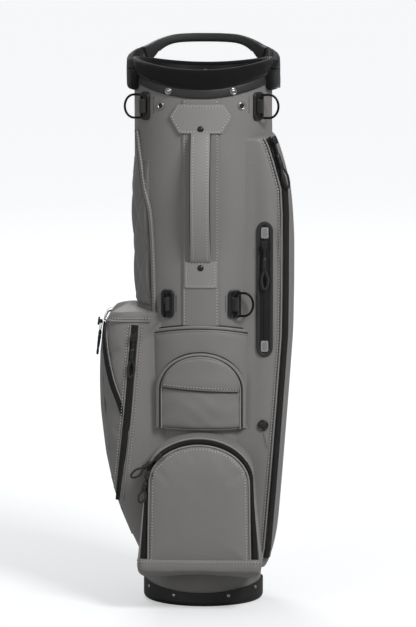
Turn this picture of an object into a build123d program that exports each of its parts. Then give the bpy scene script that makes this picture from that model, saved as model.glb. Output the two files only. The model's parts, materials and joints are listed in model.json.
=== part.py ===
from build123d import *
import math
import os

os.makedirs("parts", exist_ok=True)

# A golf stand bag. Millimetres, +Z up. The origin is the middle of the underside of the
# base. The carrying side, with its grab handle and ball pocket, faces -Y, and the legs
# of the stand are on the +Y side.

# ---- driving dimensions ----
rim_height = 847.0        # floor to the lowest point of the mouth's rim
foot_half_width = 95.0    # outside of the base cup
foot_half_depth = 86.0
waist_height = 450.0
waist_half_width = 103.0
waist_half_depth = 91.0
chest_height = 640.0
chest_half_width = 109.0
chest_half_depth = 94.0
gap = 0.3                 # between pieces that only lie against each other
shell_wall = 2.0
cup_wall = 3.0
cup_floor = 3.0
cup_front_height = 22.0   # the cup's edge dips at the front and back
cup_side_height = 36.0
cup_edge_radius = 8.0
collar_rise = 14.0        # how much higher the rim is at the sides than in front
trim_rise = 23.0          # the same for the binding
trim_drop = 31.0          # rim to the upper edge of the binding, in front
trim_width = 14.0
trim_thickness = 3.2
padding_thickness = 9.0
ring_wall = 3.0
ring_depth = 70.0
divider_bar = 4.0
divider_row = 28.0        # how far each cross bar stands from the middle
divider_sheet = 1.2

arch_height = 892.0       # floor to the top of the lift handle's core
arch_opening_height = 879.0
arch_opening_half_width = 77.0
arch_half_width = 121.0
arch_grip_depth = 5.0
arch_wrap = 2.2
arch_depth = 12.5

strip_half_width = 28.5
strip_thickness = 2.0
seam_height = 447.0       # top of the front panel
grab_top = 748.0
grab_bottom = 549.0
grab_width = 31.0
grab_thickness = 4.0
grab_bow = 26.0
patch_thickness = 1.8

pocket_root = 40.0        # how deep the side pockets' outlines start inside the body
pocket_corner = 28.0
pocket_front = 74.0       # front faces of both side pockets, from the middle plane
pocket_back = 68.0
cooler_sizes = [(85.0, 101.0), (178.0, 141.0), (285.0, 157.0), (389.0, 161.0), (455.0, 152.0), (472.0, 137.0)]
apparel_sizes = [(60.0, 104.0), (92.0, 113.0), (317.0, 131.0), (429.0, 140.0), (556.0, 140.0), (660.0, 139.0),
                 (745.0, 112.0)]
zip_tape = 1.2
zip_width = 9.0

front_seam = 283.0        # bottom of the front panel, top of the ball pocket's section
front_half_width = 77.0
front_thickness = 8.0
valuables_half_width = 67.0
valuables_top = 405.0
valuables_spring = 345.0
valuables_thickness = 5.5
flap_top = 386.0
flap_bottom = 348.0
flap_thickness = 3.0

ball_half_width = 96.0
ball_spring_half_width = 83.0
ball_bottom = 78.0
ball_spring = 215.0
ball_top = 279.0
ball_reach = 140.0        # front of the ball pocket's gusset, from the middle plane
ball_panel_half_width = 80.0
ball_panel_top = 268.0
ball_panel_thickness = 9.0
hem_bottom = 44.0
hem_reach = 112.0

bezel_x = 99.0
bezel_bottom = 397.0
bezel_top = 610.0
bezel_width = 26.0
bezel_rim = 5.5
bezel_thickness = 2.5
badge_height = 289.0
badge_radius = 8.5

quilt_top = 704.0
quilt_thickness = 4.5

loop_wire = 1.8           # radius of a D-ring's wire
loop_half_height = 18.0
loop_reach = 26.0
loop_corner = 4.0
loop_running_gap = 0.1
loop_bezel_width = 22.0
loop_bezel_height = 44.0
loop_bezel_thickness = 3.0
loop_tab_width = 12.0
loop_tab_depth = 9.0
loop_tab_height = 22.0
upper_loop = (87.5, 788.0)
lower_loop = (52.0, 481.0)

stand_plane = 113.0       # the stand's linkage lies in this plane behind the body
leg_pivot_height = 776.0
leg_pivot_x = 24.0
leg_foot_x = 58.0
leg_foot_height = 40.0
leg_turn = 20.0           # how far each leg's hinge is turned, which splays the feet
leg_radius = 5.5
leg_wall = 1.0
leg_head_radius = 7.5
leg_head_length = 13.0
pin_radius = 3.0
running_gap = 0.05
ear_thickness = 3.0
link_drop = 60.0          # leg pivot to the link's pivot
link_length = 70.0
link_thickness = 3.5
link_width = 10.0
link_pin_radius = 2.0
link_slot = 6.0
link_play = 1.2           # side clearance of the pin in the link's slot
rod_radius = 2.5
pedal_pin_y = 93.0
pedal_pin_height = 9.0
pedal_pin_radius = 2.5
pedal_knuckle = 5.5
pedal_half_width = 20.0
pedal_slot_height = 12.0
foot_radius = 8.0
foot_length = 46.0

rivet_radius = 5.0
snap_radius = 5.5

cooler_zip = [(-104.0, 440.0), (-126.0, 205.0)]
cooler_side_height = 446.0
apparel_slider_height = 735.0
slider_shoe = 3.0
slider_bar = 5.6          # bar for the pull's eye, out from the tape
bar_radius = 1.0
pull_eye = 2.2
pull_wire = 1.6
pull_loop = 5.0           # half the width of a pull's corded loop

# ---- sizes that follow from those above ----
shell_low = cup_floor + gap
stations = [
    (shell_low, foot_half_width - cup_wall - gap, foot_half_depth - cup_wall - gap),
    (cup_side_height, foot_half_width - cup_wall - gap, foot_half_depth - cup_wall - gap),
    (waist_height, waist_half_width, waist_half_depth),
    (chest_height, chest_half_width, chest_half_depth),
    (rim_height + collar_rise, chest_half_width - 1, chest_half_depth),
]
trim_top = rim_height - trim_drop
trim_bottom = trim_top - trim_width
far = 400.0               # longer than the bag is wide, for cutting prisms


def between(height, column):
    """Half width (column 1) or half depth (column 2) of the body at a height."""
    for low, high in zip(stations, stations[1:]):
        if height <= high[0] or high is stations[-1]:
            part = (height - low[0]) / (high[0] - low[0])
            return low[column] + (high[column] - low[column]) * part


def half_width(height):
    return between(height, 1)


def half_depth(height):
    return between(height, 2)


def body(grow, low, high):
    """The bag's oval body, grown outwards, between two heights."""
    heights = [low] + [s[0] for s in stations if low < s[0] < high] + [high]
    ovals = [Plane.XY.offset(z) * Ellipse(half_width(z) + grow, half_depth(z) + grow) for z in heights]
    return loft(ovals, ruled=True)


def layer(inner, outer, low, high):
    """A skin round the body, from one offset to another."""
    return body(outer, low, high) - body(inner, low - 1, high + 1)


def prism(face, start, end):
    """A face drawn looking along +Y, carried from y = start to y = end, with start > end."""
    return extrude(Plane.XZ.offset(-start) * face, start - end)


def block(x0, x1, y0, y1, z0, z1):
    centre = ((x0 + x1) / 2, (y0 + y1) / 2, (z0 + z1) / 2)
    return Pos(*centre) * Box(x1 - x0, y1 - y0, z1 - z0)


def panel(x0, x1, z0, z1):
    return Pos((x0 + x1) / 2, (z0 + z1) / 2) * Rectangle(x1 - x0, z1 - z0)


def arched(low_half, spring_half, low, spring, top):
    """A face with straight sides and an elliptical top."""
    arc = EllipticalCenterArc((0, spring), spring_half, top - spring, 0, arc_size=180)
    sides = Polyline((-spring_half, spring), (-low_half, low), (low_half, low), (spring_half, spring))
    return make_face(arc + sides)


def above_dip(middle, side):
    """Everything above a line that dips in the middle, by the collar's rise, as a face."""
    edge = half_width(rim_height)
    arc = ThreePointArc((-edge, side), (0, middle), (edge, side))
    rest = Polyline((edge, side), (far, side), (far, far * 3), (-far, far * 3), (-far, side), (-edge, side))
    return make_face(arc + rest)


def cut_above(solid, middle, side):
    return solid - prism(above_dip(middle, side), far, -far)


def keep_above(solid, middle, side):
    return solid & prism(above_dip(middle, side), far, -far)


def on_front(x, height, grow):
    """A place on the front of the body: local -Y points outwards there."""
    wide, deep = half_width(height) + grow, half_depth(height) + grow
    y = -deep * math.sqrt(1 - (x / wide) ** 2)
    turn = math.degrees(math.atan2(x / wide**2, -y / deep**2))
    return Pos(x, y, height) * Rot(0, 0, turn)


def rod_between(start, end, radius):
    direction = Vector(*end) - Vector(*start)
    return Plane(origin=start, z_dir=direction) * Cylinder(
        radius, direction.length, align=(Align.CENTER, Align.CENTER, Align.MIN))


def save(node, shape):
    solids = shape.solids() if not isinstance(shape, list) else [s for item in shape for s in item.solids()]
    whole = Compound(children=list(solids)) if len(solids) > 1 else solids[0]
    export_step(whole, f"parts/{node}.step")


# ---- body and base ----
def base_cup():
    side = cup_side_height
    outer = extrude(Ellipse(foot_half_width, foot_half_depth), side)
    outer = fillet(outer.edges().group_by(Axis.Z)[0], cup_edge_radius)
    inner = extrude(Ellipse(foot_half_width - cup_wall, foot_half_depth - cup_wall), side + 1)
    cup = cut_above(outer - Pos(0, 0, cup_floor) * inner, cup_front_height, side)
    lug_x = pedal_half_width + 0.5
    for sign in (-1, 1):
        start, end = sorted((sign * lug_x, sign * (lug_x + 5)))
        cup += block(start, end, foot_half_depth - cup_wall, pedal_pin_y + 5, 3, 15)
    hole = Pos(0, pedal_pin_y, pedal_pin_height) * Rot(0, 90, 0) * Cylinder(pedal_pin_radius + running_gap, far)
    return cup - hole


def base_rivets():
    rivets = []
    for x, z in ((43, cup_front_height - 5), (84, cup_side_height - 12)):
        for sign in (-1, 1):
            deep = foot_half_depth * math.sqrt(1 - (x / foot_half_width) ** 2)
            turn = math.degrees(math.atan2(x / foot_half_width**2, deep / foot_half_depth**2))
            place = Pos(sign * x, -deep - 0.2, z) * Rot(0, 0, sign * turn) * Rot(90, 0, 0)
            rivets.append(place * Cylinder(3, 1.6, align=(Align.CENTER, Align.CENTER, Align.MIN)))
    return rivets


def body_shell():
    tall = layer(-shell_wall, 0, shell_low, rim_height + collar_rise)
    return cut_above(tall, trim_bottom + 2, trim_bottom + 2 + trim_rise)


def frame_stays():
    """Two side battens and a back batten, between the shell and the collar's ring."""
    low, high = shell_low + 1, trim_bottom - 4
    skin = layer(-shell_wall - 3.4, -shell_wall - 0.4, low, high)
    reach = far / 2
    sides = skin & block(-reach, reach, -9, 9, low, high)
    back = skin & block(-9, 9, 0, reach, low, high)
    return [sides, back]


def collar_ring():
    inner = -shell_wall - 4.2
    ring = layer(inner - ring_wall, inner, rim_height - ring_depth, rim_height + collar_rise - 1)
    return cut_above(ring, rim_height - 6, rim_height - 6 + collar_rise)


def collar_padding():
    """The velour collar: the rim roll above the binding."""
    inner = 3 - padding_thickness
    ring = layer(inner, 3, trim_bottom, rim_height + collar_rise)
    ring = cut_above(ring, rim_height, rim_height + collar_rise)
    return keep_above(ring, trim_top + gap, trim_top + gap + trim_rise)


def collar_trim():
    ring = layer(gap, trim_thickness, trim_bottom - 2, rim_height + collar_rise)
    ring = cut_above(ring, trim_top, trim_top + trim_rise)
    return keep_above(ring, trim_bottom, trim_bottom + trim_rise)


def divider_bars(grow, low, high):
    half = divider_bar / 2 + grow
    bars = block(-far, far, divider_row - half, divider_row + half, low, high)
    bars += block(-far, far, -divider_row - half, -divider_row + half, low, high)
    bars += block(-half, half, divider_row, far, low, high)
    bars += block(-half, half, -far, -divider_row, low, high)
    return bars


def top_divider():
    low, high = rim_height - 45, rim_height - 12
    inner = -shell_wall - 4.2 - ring_wall - gap
    return (divider_bars(0, low, high) & body(inner, low, high)) + layer(inner - 2, inner, low, high)


def divider_panels():
    low, high = shell_low + 2, rim_height - 45 - gap
    inner = -shell_wall - 4.2 - ring_wall - gap
    half = divider_sheet / 2
    space = body(inner, low, high)
    sheets = [block(-far, far, y - half, y + half, low, high) & space for y in (-divider_row, divider_row)]
    edge = divider_row + half + gap
    sheets.append(block(-half, half, edge, far, low, high) & space)
    sheets.append(block(-half, half, -far, -edge, low, high) & space)
    return sheets


# ---- lift handle ----
def arch_face():
    wide, top = arch_half_width, arch_height
    hole, high = arch_opening_half_width, arch_opening_height
    right = [(wide, 812), (wide, 837), (wide - 2, top - 37), (wide - 9, top - 29), (wide - 33, top - 12),
             (65, top - 3), (35, top), (0, top)]
    under = [(0, high), (hole - 15, high), (hole, high - 15), (hole - 7, high - 31), (wide - 18, 826), (wide - 17, 812)]
    outline = right + [(-x, z) for x, z in reversed(right[:-1])]
    outline += [(-x, z) for x, z in reversed(under[1:])] + under[1:]
    return make_face(Polyline(*outline, close=True))


def arch_solid():
    collar = chest_half_width + trim_thickness
    deep = chest_half_depth + trim_thickness
    outer = Ellipse(arch_half_width, deep + arch_depth + gap)
    inner = Ellipse(collar + gap, deep + gap)
    ring = Pos(0, 0, 700) * extrude(outer - inner, 300)
    return ring & prism(arch_face(), far, -20)


def grip_face(grow):
    hole, high = arch_opening_half_width, arch_opening_height
    deep = arch_grip_depth + grow
    outer = [(-hole - deep, high - 15), (-hole + 13, high + deep), (hole - 13, high + deep),
             (hole + deep, high - 15)]
    inner = [(hole, high - 15), (hole - 15, high), (-hole + 15, high), (-hole, high - 15)]
    return make_face(Polyline(*(outer + inner), close=True))


def lift_handle():
    arch = arch_solid()
    cut = arch_half_width - 26
    middle = block(-cut, cut, -far, far, 800, 1000)
    core = (arch & middle) - prism(grip_face(gap), far, 0)
    grip = arch & prism(grip_face(0), far, 0)
    pads = arch - block(-cut - gap, cut + gap, -far, far, 800, 1000)
    lifted = Pos(0, 0, arch_wrap + gap) * arch
    wrap = (lifted - Pos(0, 0, gap) * arch) & block(-60, 60, 0, far, arch_opening_height + 5, 1000)
    return core, grip, pads, wrap


# ---- front of the bag ----
def spine_strip():
    face = panel(-strip_half_width, strip_half_width, seam_height + gap, trim_bottom - 1)
    return layer(gap, strip_thickness, 400, rim_height) & prism(face, 0, -far)


def handle_patches():
    low = strip_thickness + gap
    skin = layer(low, low + patch_thickness, 400, rim_height)
    wide = 48.5
    six = Polyline((-wide, 771), (-wide + 15, 793), (wide - 15, 793), (wide, 771), (wide - 15, grab_top),
                   (-wide + 15, grab_top), close=True)
    upper = skin & prism(make_face(six), 0, -far)
    lower = skin & prism(panel(-strip_half_width + 3, strip_half_width - 3, grab_bottom - 42, grab_bottom), 0, -far)
    return [upper, lower]


def grab_handle():
    """A flat strap that bows outwards, held under a patch at each end."""
    low = strip_thickness + gap
    top = -half_depth(grab_top) - low - grab_thickness / 2
    bottom = -half_depth(grab_bottom) - low - grab_thickness / 2
    middle = ((top + bottom) / 2 - grab_bow, (grab_top + grab_bottom) / 2)
    path = Plane.YZ * ThreePointArc((top, grab_top - gap), middle, (bottom, grab_bottom + gap))
    section = Plane(origin=path @ 0, z_dir=path % 0, x_dir=(1, 0, 0)) * Rectangle(grab_width, grab_thickness)
    return sweep(section, path=path)


def stud(radius, length):
    """A round head that stands out along local -Y."""
    return Rot(90, 0, 0) * Cylinder(radius, length, align=(Align.CENTER, Align.CENTER, Align.MIN))


def handle_rivets():
    face = strip_thickness + gap + patch_thickness + gap
    return [on_front(0, z, face) * stud(rivet_radius, 2.5) for z in (grab_top + 7, grab_bottom - 10)]


def hood_snaps():
    snaps = []
    for sign in (-1, 1):
        snaps.append(on_front(sign * 50.5, trim_bottom + 11, trim_thickness + gap + 0.2) * stud(snap_radius, 3))
        snaps.append(on_front(sign * 63, trim_bottom - 12, gap + 0.3) * stud(snap_radius + 1, 2))
    return snaps


def quilted_panel():
    low = cooler_sizes[-1][0] + 2
    skin = layer(gap, quilt_thickness, low, quilt_top)
    return skin & block(-far, -82, -far, 50, low, quilt_top)


# ---- side pockets ----
def side_pocket(sizes, side, grow):
    ovals = []
    for height, reach in sizes:
        width = reach + grow - pocket_root
        depth = pocket_front + pocket_back + 2 * grow
        centre = Pos(side * (pocket_root + width / 2), (pocket_back - pocket_front) / 2)
        ovals.append(Plane.XY.offset(height) * centre * RectangleRounded(width, depth, pocket_corner + grow))
    return loft(ovals, ruled=True)


def cooler_pocket():
    return side_pocket(cooler_sizes, -1, 0) - body(gap, 50, 500)


def apparel_pocket():
    return side_pocket(apparel_sizes, 1, 0) - body(gap, 40, 800)


def ribbon(points, width):
    """A face that follows a line of points, drawn looking along +Y."""
    side = [(x - width / 2, z) for x, z in points]
    other = [(x + width / 2, z) for x, z in reversed(points)]
    return make_face(Polyline(*(side + other), close=True))


def cooler_zip_tape():
    front = -pocket_front - gap
    return prism(ribbon(cooler_zip, zip_width), front, front - zip_tape)


def apparel_zip_tape():
    skin = side_pocket(apparel_sizes, 1, gap + zip_tape) - side_pocket(apparel_sizes, 1, gap)
    line = [(apparel_corner(z)[0], z) for z in (738, 660, 556, 429, 317, 95)]
    strip = prism(ribbon(line, zip_width), -40, -far)
    return (skin & strip) - body(gap, 40, 800)


def stadium(width, low, high):
    return Pos(bezel_x, (low + high) / 2) * SlotOverall(high - low, width, rotation=90)


def side_zip_bezel():
    face = stadium(bezel_width, bezel_bottom, bezel_top)
    face -= stadium(bezel_width - 2 * bezel_rim, bezel_bottom + bezel_rim, bezel_top - bezel_rim)
    front = -pocket_front - gap
    return prism(face, front, front - bezel_thickness)


def side_zip_tape():
    rim = bezel_rim + gap
    face = stadium(bezel_width - 2 * rim, bezel_bottom + rim, bezel_top - rim)
    front = -pocket_front - gap
    return prism(face, front, front - zip_tape)


def zip_garages():
    front = -pocket_front - 2 * gap - zip_tape
    half = bezel_width / 2 - bezel_rim - 1.5
    tabs = []
    for low, high in ((bezel_bottom + 9, bezel_bottom + 26), (bezel_top - 27, bezel_top - 9)):
        tabs.append(prism(panel(bezel_x - half, bezel_x + half, low, high), front, front - 2))
    return tabs


def badge():
    place = Pos(bezel_x - 2, -pocket_front - gap, badge_height)
    return place * stud(badge_radius, 2.4)


# ---- front pockets ----
def clear_of_sides(shape):
    return shape - side_pocket(cooler_sizes, -1, gap) - side_pocket(apparel_sizes, 1, gap)


def front_panel():
    face = panel(-front_half_width, front_half_width, front_seam + gap, seam_height)
    return clear_of_sides(layer(gap, front_thickness, 270, 460) & prism(face, 0, -far))


def valuables_face(grow):
    return arched(valuables_half_width + grow, valuables_half_width + grow, front_seam + 2, valuables_spring,
                  valuables_top + grow)


def valuables_pocket():
    low = front_thickness + gap
    skin = layer(low, low + valuables_thickness, 270, 460)
    return clear_of_sides(skin & prism(valuables_face(0), 0, -far))


def flap_skin():
    low = front_thickness + valuables_thickness + 3 * gap
    return layer(low, low + flap_thickness, 270, 460) & prism(valuables_face(0), 0, -far)


def valuables_flap():
    return flap_skin() & block(-far, far, -far, 0, flap_bottom, flap_top)


def valuables_yoke():
    """The sewn top of the arch that the flap hangs from."""
    return flap_skin() & block(-far, far, -far, 0, flap_top + 1, 450)


def ball_pocket():
    face = arched(ball_half_width, ball_spring_half_width, ball_bottom, ball_spring, ball_top)
    solid = clear_of_sides(prism(face, -20, -ball_reach))
    return solid - body(gap, 20, 320)


def ball_pocket_panel():
    half = ball_panel_half_width
    face = arched(half, half - 2, ball_bottom, ball_spring - 8, ball_panel_top)
    front = -ball_reach - gap
    slab = prism(face, front, front - ball_panel_thickness)
    return fillet(slab.faces().sort_by(Axis.Y)[0].edges(), 4)


def ball_pocket_zip():
    """The zip's tape round the arch, between the panel and the gusset's outer edge."""
    half = ball_panel_half_width
    outer = arched(half + 13, half + 2.5, ball_bottom, ball_spring, ball_top - 2)
    inner = arched(half + gap, half - 2 + gap, ball_bottom - 1, ball_spring - 8, ball_panel_top + gap)
    front = -ball_reach - gap
    return prism(outer - inner, front, front - 2)


def ball_pocket_hem():
    """The tucked underside: it narrows from the pocket to the base."""
    lower = Plane.XY.offset(hem_bottom) * Pos(0, -hem_reach / 2) * RectangleRounded(2 * foot_half_width - 12, hem_reach, 12)
    upper = Plane.XY.offset(ball_bottom - gap) * Pos(0, -(ball_reach + 8) / 2) * RectangleRounded(
        2 * ball_half_width, ball_reach + 8, 12)
    solid = loft([lower, upper], ruled=True) & block(-far, far, -far, -45, 0, 200)
    return clear_of_sides(solid) - body(gap, 20, 320)


# ---- strap rings ----
def loop_place(spot, side):
    x, z = spot
    return on_front(side * x, z, gap + 0.2)


def loop_standoff():
    return loop_bezel_thickness + gap + loop_tab_depth / 2


def loop_bar(spot, side):
    """Where the straight bar of a ring is."""
    return (loop_place(spot, side) * Pos(0, -loop_standoff(), 0)).position


def ring_bezels():
    plate = extrude(Plane.XZ * RectangleRounded(loop_bezel_width, loop_bezel_height, 8), loop_bezel_thickness)
    return [loop_place(spot, side) * plate for spot in (upper_loop, lower_loop) for side in (-1, 1)]


def ring_tabs():
    tab = extrude(RectangleRounded(loop_tab_width, loop_tab_depth, 3.5), loop_tab_height / 2, both=True)
    tab -= Cylinder(loop_wire + loop_running_gap, loop_tab_height * 2)
    tabs = []
    for spot in (upper_loop, lower_loop):
        for side in (-1, 1):
            tabs.append(loop_place(spot, side) * Pos(0, -loop_standoff(), 0) * tab)
    return tabs


def strap_ring(spot, side, direction):
    """A D-ring whose bar is upright, and whose bow points to a compass angle from -Y."""
    tall, corner = loop_half_height, loop_corner
    flat = loop_reach - tall * 0.8
    path = Line((0, -tall + corner), (0, tall - corner))
    path += CenterArc((corner, tall - corner), corner, 180, -90)
    path += Line((corner, tall), (flat, tall))
    path += EllipticalCenterArc((flat, 0), loop_reach - flat, tall, -90, arc_size=180)
    path += Line((corner, -tall), (flat, -tall))
    path += CenterArc((corner, -tall + corner), corner, 270, -90)
    path = Plane.XZ * path
    wire = sweep(Plane.XY * Circle(loop_wire), path=path.wire())
    return Pos(*loop_bar(spot, side)) * Rot(0, 0, direction - 90) * wire


# ---- zip sliders and pulls ----
def slider():
    """A slider on a tape that faces local -Y, with a bar for the pull between two cheeks."""
    shoe = extrude(Plane.XZ * RectangleRounded(8, 13, 3), slider_shoe)
    cheek = block(2.6, 4, -slider_bar - 1.6, 1 - slider_shoe, -3, 3)
    bar = Pos(0, -slider_bar, 0) * Rot(0, 90, 0) * Cylinder(bar_radius, 7)
    return shoe + cheek + mirror(cheek, Plane.YZ) + bar


def zip_pull(length):
    """A metal link, a moulded barrel and a corded loop, hanging along local -Z from its eye."""
    eye = Rot(0, 90, 0) * Cylinder(pull_eye, 4.6)
    link_end, barrel_end = length * 0.34, length * 0.52
    link = block(-1.6, 1.6, -0.8, 0.8, -link_end, 0)
    barrel = Pos(0, 0, -(link_end + barrel_end) / 2) * Cylinder(2.6, barrel_end - link_end + 1)
    half = pull_loop
    path = Line((-half, -barrel_end - half), (-half, -length + half))
    path += CenterArc((0, -length + half), half, 180, 180)
    path += Line((half, -length + half), (half, -barrel_end - half))
    path += CenterArc((0, -barrel_end - half), half, 0, 180)
    path = Plane.XZ * path
    start = Plane(origin=path @ 0, z_dir=path % 0)
    loop = sweep(start * Circle(pull_wire), path=path.wire())
    bore = Rot(0, 90, 0) * Cylinder(bar_radius + loop_running_gap, 20)
    return eye + link + barrel + loop - bore


def facing(spot, outward, down):
    """A place whose local -Y points outwards and local -Z down the zip."""
    up = Vector(*down).normalized() * -1
    out = Vector(*outward) - up * Vector(*outward).dot(up)
    return Plane(origin=spot, x_dir=(out * -1).cross(up), z_dir=up).location


def apparel_corner(height):
    """Where the apparel pocket's zip crosses a height, on its rounded corner."""
    slant = pocket_corner * math.sqrt(0.5)
    for low, high in zip(apparel_sizes, apparel_sizes[1:]):
        if height <= high[0]:
            part = (height - low[0]) / (high[0] - low[0])
            reach = low[1] + (high[1] - low[1]) * part
            return (reach - pocket_corner + slant, pocket_corner - pocket_front - slant)


def along(points, distance):
    """A point on the first run of a zip's line, at a distance from its top."""
    (x0, z0), (x1, z1) = points[:2]
    part = distance / math.dist(points[0], points[1])
    return x0 + (x1 - x0) * part, z0 + (z1 - z0) * part


def side_zip_place():
    y = -pocket_front - 2 * gap - zip_tape
    return facing((bezel_x, y, bezel_top - 36), (0, -1, 0), (0, 0, -1))


def cooler_zip_place():
    x, z = along(cooler_zip, 12)
    drop = (cooler_zip[1][0] - cooler_zip[0][0], 0, cooler_zip[1][1] - cooler_zip[0][1])
    return facing((x, -pocket_front - 2 * gap - zip_tape, z), (0, -1, 0), drop)


def cooler_side_place():
    (low_z, low_reach), (high_z, high_reach) = cooler_sizes[3:5]
    part = (cooler_side_height - low_z) / (high_z - low_z)
    reach = low_reach + (high_reach - low_reach) * part + gap
    return facing((-reach, -35, cooler_side_height), (-1, 0, 0), (high_reach - low_reach, 0, low_z - high_z))


def apparel_zip_place():
    low, high = apparel_sizes[-2:]
    x, y = apparel_corner(apparel_slider_height)
    out = (zip_tape + 2 * gap) * 1.1
    spot = (x + out * math.sqrt(0.5), y - out * math.sqrt(0.5), apparel_slider_height)
    return facing(spot, (1, -1, 0), (low[1] - high[1], 0, low[0] - high[0]))


def ball_zip_place(spot, down):
    return facing((spot[0], -ball_reach - 2 * gap - 2, spot[1]), (0, -1, 0), (down[0], 0, down[1]))


ball_pulls = [((-63.0, 250.0), (-0.8, -0.6), 50.0), ((-80.0, 222.0), (-0.25, -0.97), 44.0)]
to_bar = Pos(0, -slider_bar, 0)


# ---- stand ----
def leg_axis(side):
    """The direction of a leg's hinge: a positive turn swings the foot back and outwards."""
    turn = math.radians(leg_turn)
    return Vector(math.cos(turn), -side * math.sin(turn), 0)


def leg_frame(side):
    """A place at a leg's pivot, with local X along the hinge."""
    return Pos(side * leg_pivot_x, stand_plane, leg_pivot_height) * Rot(0, 0, -side * leg_turn)


def leg_point(side, distance):
    top = Vector(side * leg_pivot_x, stand_plane, leg_pivot_height)
    end = Vector(side * leg_foot_x, stand_plane, leg_foot_height)
    return top + (end - top).normalized() * distance


def leg_length():
    return math.hypot(leg_foot_x - leg_pivot_x, leg_pivot_height - leg_foot_height)


def across(radius, length):
    """A cylinder along local X."""
    return Rot(0, 90, 0) * Cylinder(radius, length)


def stand_bracket():
    back = half_depth(leg_pivot_height) + gap
    bracket = block(-38, 38, back, back + 5, leg_pivot_height - 28, leg_pivot_height + 22)
    spacing = leg_head_length / 2 + gap
    for side in (-1, 1):
        for sign in (-1, 1):
            middle = sign * (spacing + ear_thickness / 2)
            ear = Pos(middle, 0, 0) * across(leg_head_radius, ear_thickness)
            reach = stand_plane - back
            ear += Pos(middle, -reach / 2, 0) * Box(ear_thickness, reach, 2 * leg_head_radius)
            bracket += (leg_frame(side) * ear) - block(-far, far, -far, back + 1, 0, 999)
        bracket -= leg_frame(side) * across(pin_radius + running_gap, 2 * spacing + 2 * ear_thickness + 2)
    return bracket


def stand_pins():
    length = leg_head_length + 2 * gap + 2 * ear_thickness + 2
    return [leg_frame(side) * across(pin_radius, length) for side in (-1, 1)]


def leg_tube(side):
    top, end = leg_point(side, 0), leg_point(side, leg_length())
    tube = rod_between(top, end, leg_radius) + leg_frame(side) * across(leg_head_radius, leg_head_length)
    tube -= rod_between(leg_point(side, link_drop + 10), end, leg_radius - leg_wall)
    tube -= leg_frame(side) * across(pin_radius + running_gap, far)
    inward = leg_axis(side) * -side
    spot = leg_point(side, link_drop)
    return tube + rod_between(spot + inward * 3, spot + inward * (leg_radius + link_thickness + 2.5), link_pin_radius)


def leg_foot(side):
    grip = rod_between(leg_point(side, leg_length() - foot_length + 12), leg_point(side, leg_length() + 12), foot_radius)
    return grip - rod_between(leg_point(side, 0), leg_point(side, leg_length()), leg_radius + running_gap)


def link_centre(side):
    return leg_point(side, link_drop) + leg_axis(side) * (-side * (leg_radius + link_thickness / 2 + 1.25))


def leg_link(side):
    """A flat link. Its lower hole is a slot, which takes up the rod's lost motion."""
    tall = link_length + link_slot / 2 + link_width
    plate = extrude(Plane.YZ * Pos(0, link_width / 2 - tall / 2) * SlotOverall(tall, link_width, rotation=90),
                    link_thickness / 2, both=True)
    plate -= across(link_pin_radius + running_gap, far)
    slot_width = 2 * link_pin_radius + 2 * link_play
    slot = Plane.YZ * Pos(0, 1.5 - link_length) * SlotOverall(slot_width + link_slot + 2, slot_width, rotation=90)
    plate -= extrude(slot, link_thickness, both=True)
    return Pos(*link_centre(side)) * Rot(0, 0, -side * leg_turn) * plate


def push_rod():
    foot = Vector(0, stand_plane, pedal_slot_height)
    head_height = link_centre(1).Z - link_length
    rod = rod_between(foot - Vector(0, 0, 2.5), Vector(0, stand_plane, head_height), rod_radius)
    rod += block(-12, 12, stand_plane - 4, stand_plane + 9, head_height - 5, head_height + 5)
    rod += Pos(*foot) * across(link_pin_radius, 20)
    for side in (-1, 1):
        middle = link_centre(side) - Vector(0, 0, link_length)
        inward = leg_axis(side) * -side
        rod += rod_between(middle - inward * 2.5, middle + inward * 8, link_pin_radius)
    return rod


def rod_guides():
    guides = []
    for z in (120, 320, 540):
        back = half_depth(z + 6) + gap
        guide = block(-9, 9, back, stand_plane + 6, z - 6, z + 6)
        guides.append(guide - Pos(0, stand_plane, z) * Cylinder(rod_radius + running_gap, 40))
    return guides


def pedal():
    hinge = Pos(0, pedal_pin_y, pedal_pin_height)
    back = stand_plane + 11
    plate = hinge * across(pedal_knuckle, 2 * pedal_half_width)
    plate += block(-pedal_half_width, pedal_half_width, pedal_pin_y + 2, back, 1.5, 6)
    for sign in (-1, 1):
        start, end = sorted((sign * 4, sign * 8))
        plate += block(start, end, stand_plane - 8, back, 5, 20)
    lift = math.degrees(math.atan2(pedal_slot_height - pedal_pin_height, stand_plane - pedal_pin_y))
    arm = stand_plane - pedal_pin_y
    slot = block(-9, 9, arm - 3.5, arm + 8.5, -link_pin_radius - 1, link_pin_radius + 1)
    return plate - hinge * Rot(lift, 0, 0) * slot - hinge * across(pedal_pin_radius + running_gap, far)


def pedal_pin():
    return Pos(0, pedal_pin_y, pedal_pin_height) * across(pedal_pin_radius, 2 * pedal_half_width + 14)


def print_joints():
    """The joints' places and directions, which the assembly's record repeats."""
    for spot, label in ((upper_loop, "upper"), (lower_loop, "lower")):
        for side in (-1, 1):
            print(label, side, "ring bar", loop_bar(spot, side))
    for label, place in (("side", side_zip_place()), ("cooler", cooler_zip_place()),
                         ("cooler side", cooler_side_place()), ("apparel", apparel_zip_place()),
                         ("ball a", ball_zip_place(*ball_pulls[0][:2])), ("ball b", ball_zip_place(*ball_pulls[1][:2]))):
        plane = Plane(place * to_bar)
        print(label, "pull hinge", plane.origin, "axis", plane.x_dir, "down", plane.z_dir * -1)
    for side in (-1, 1):
        print("link", side, link_centre(side), "leg axis", leg_axis(side))


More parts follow.
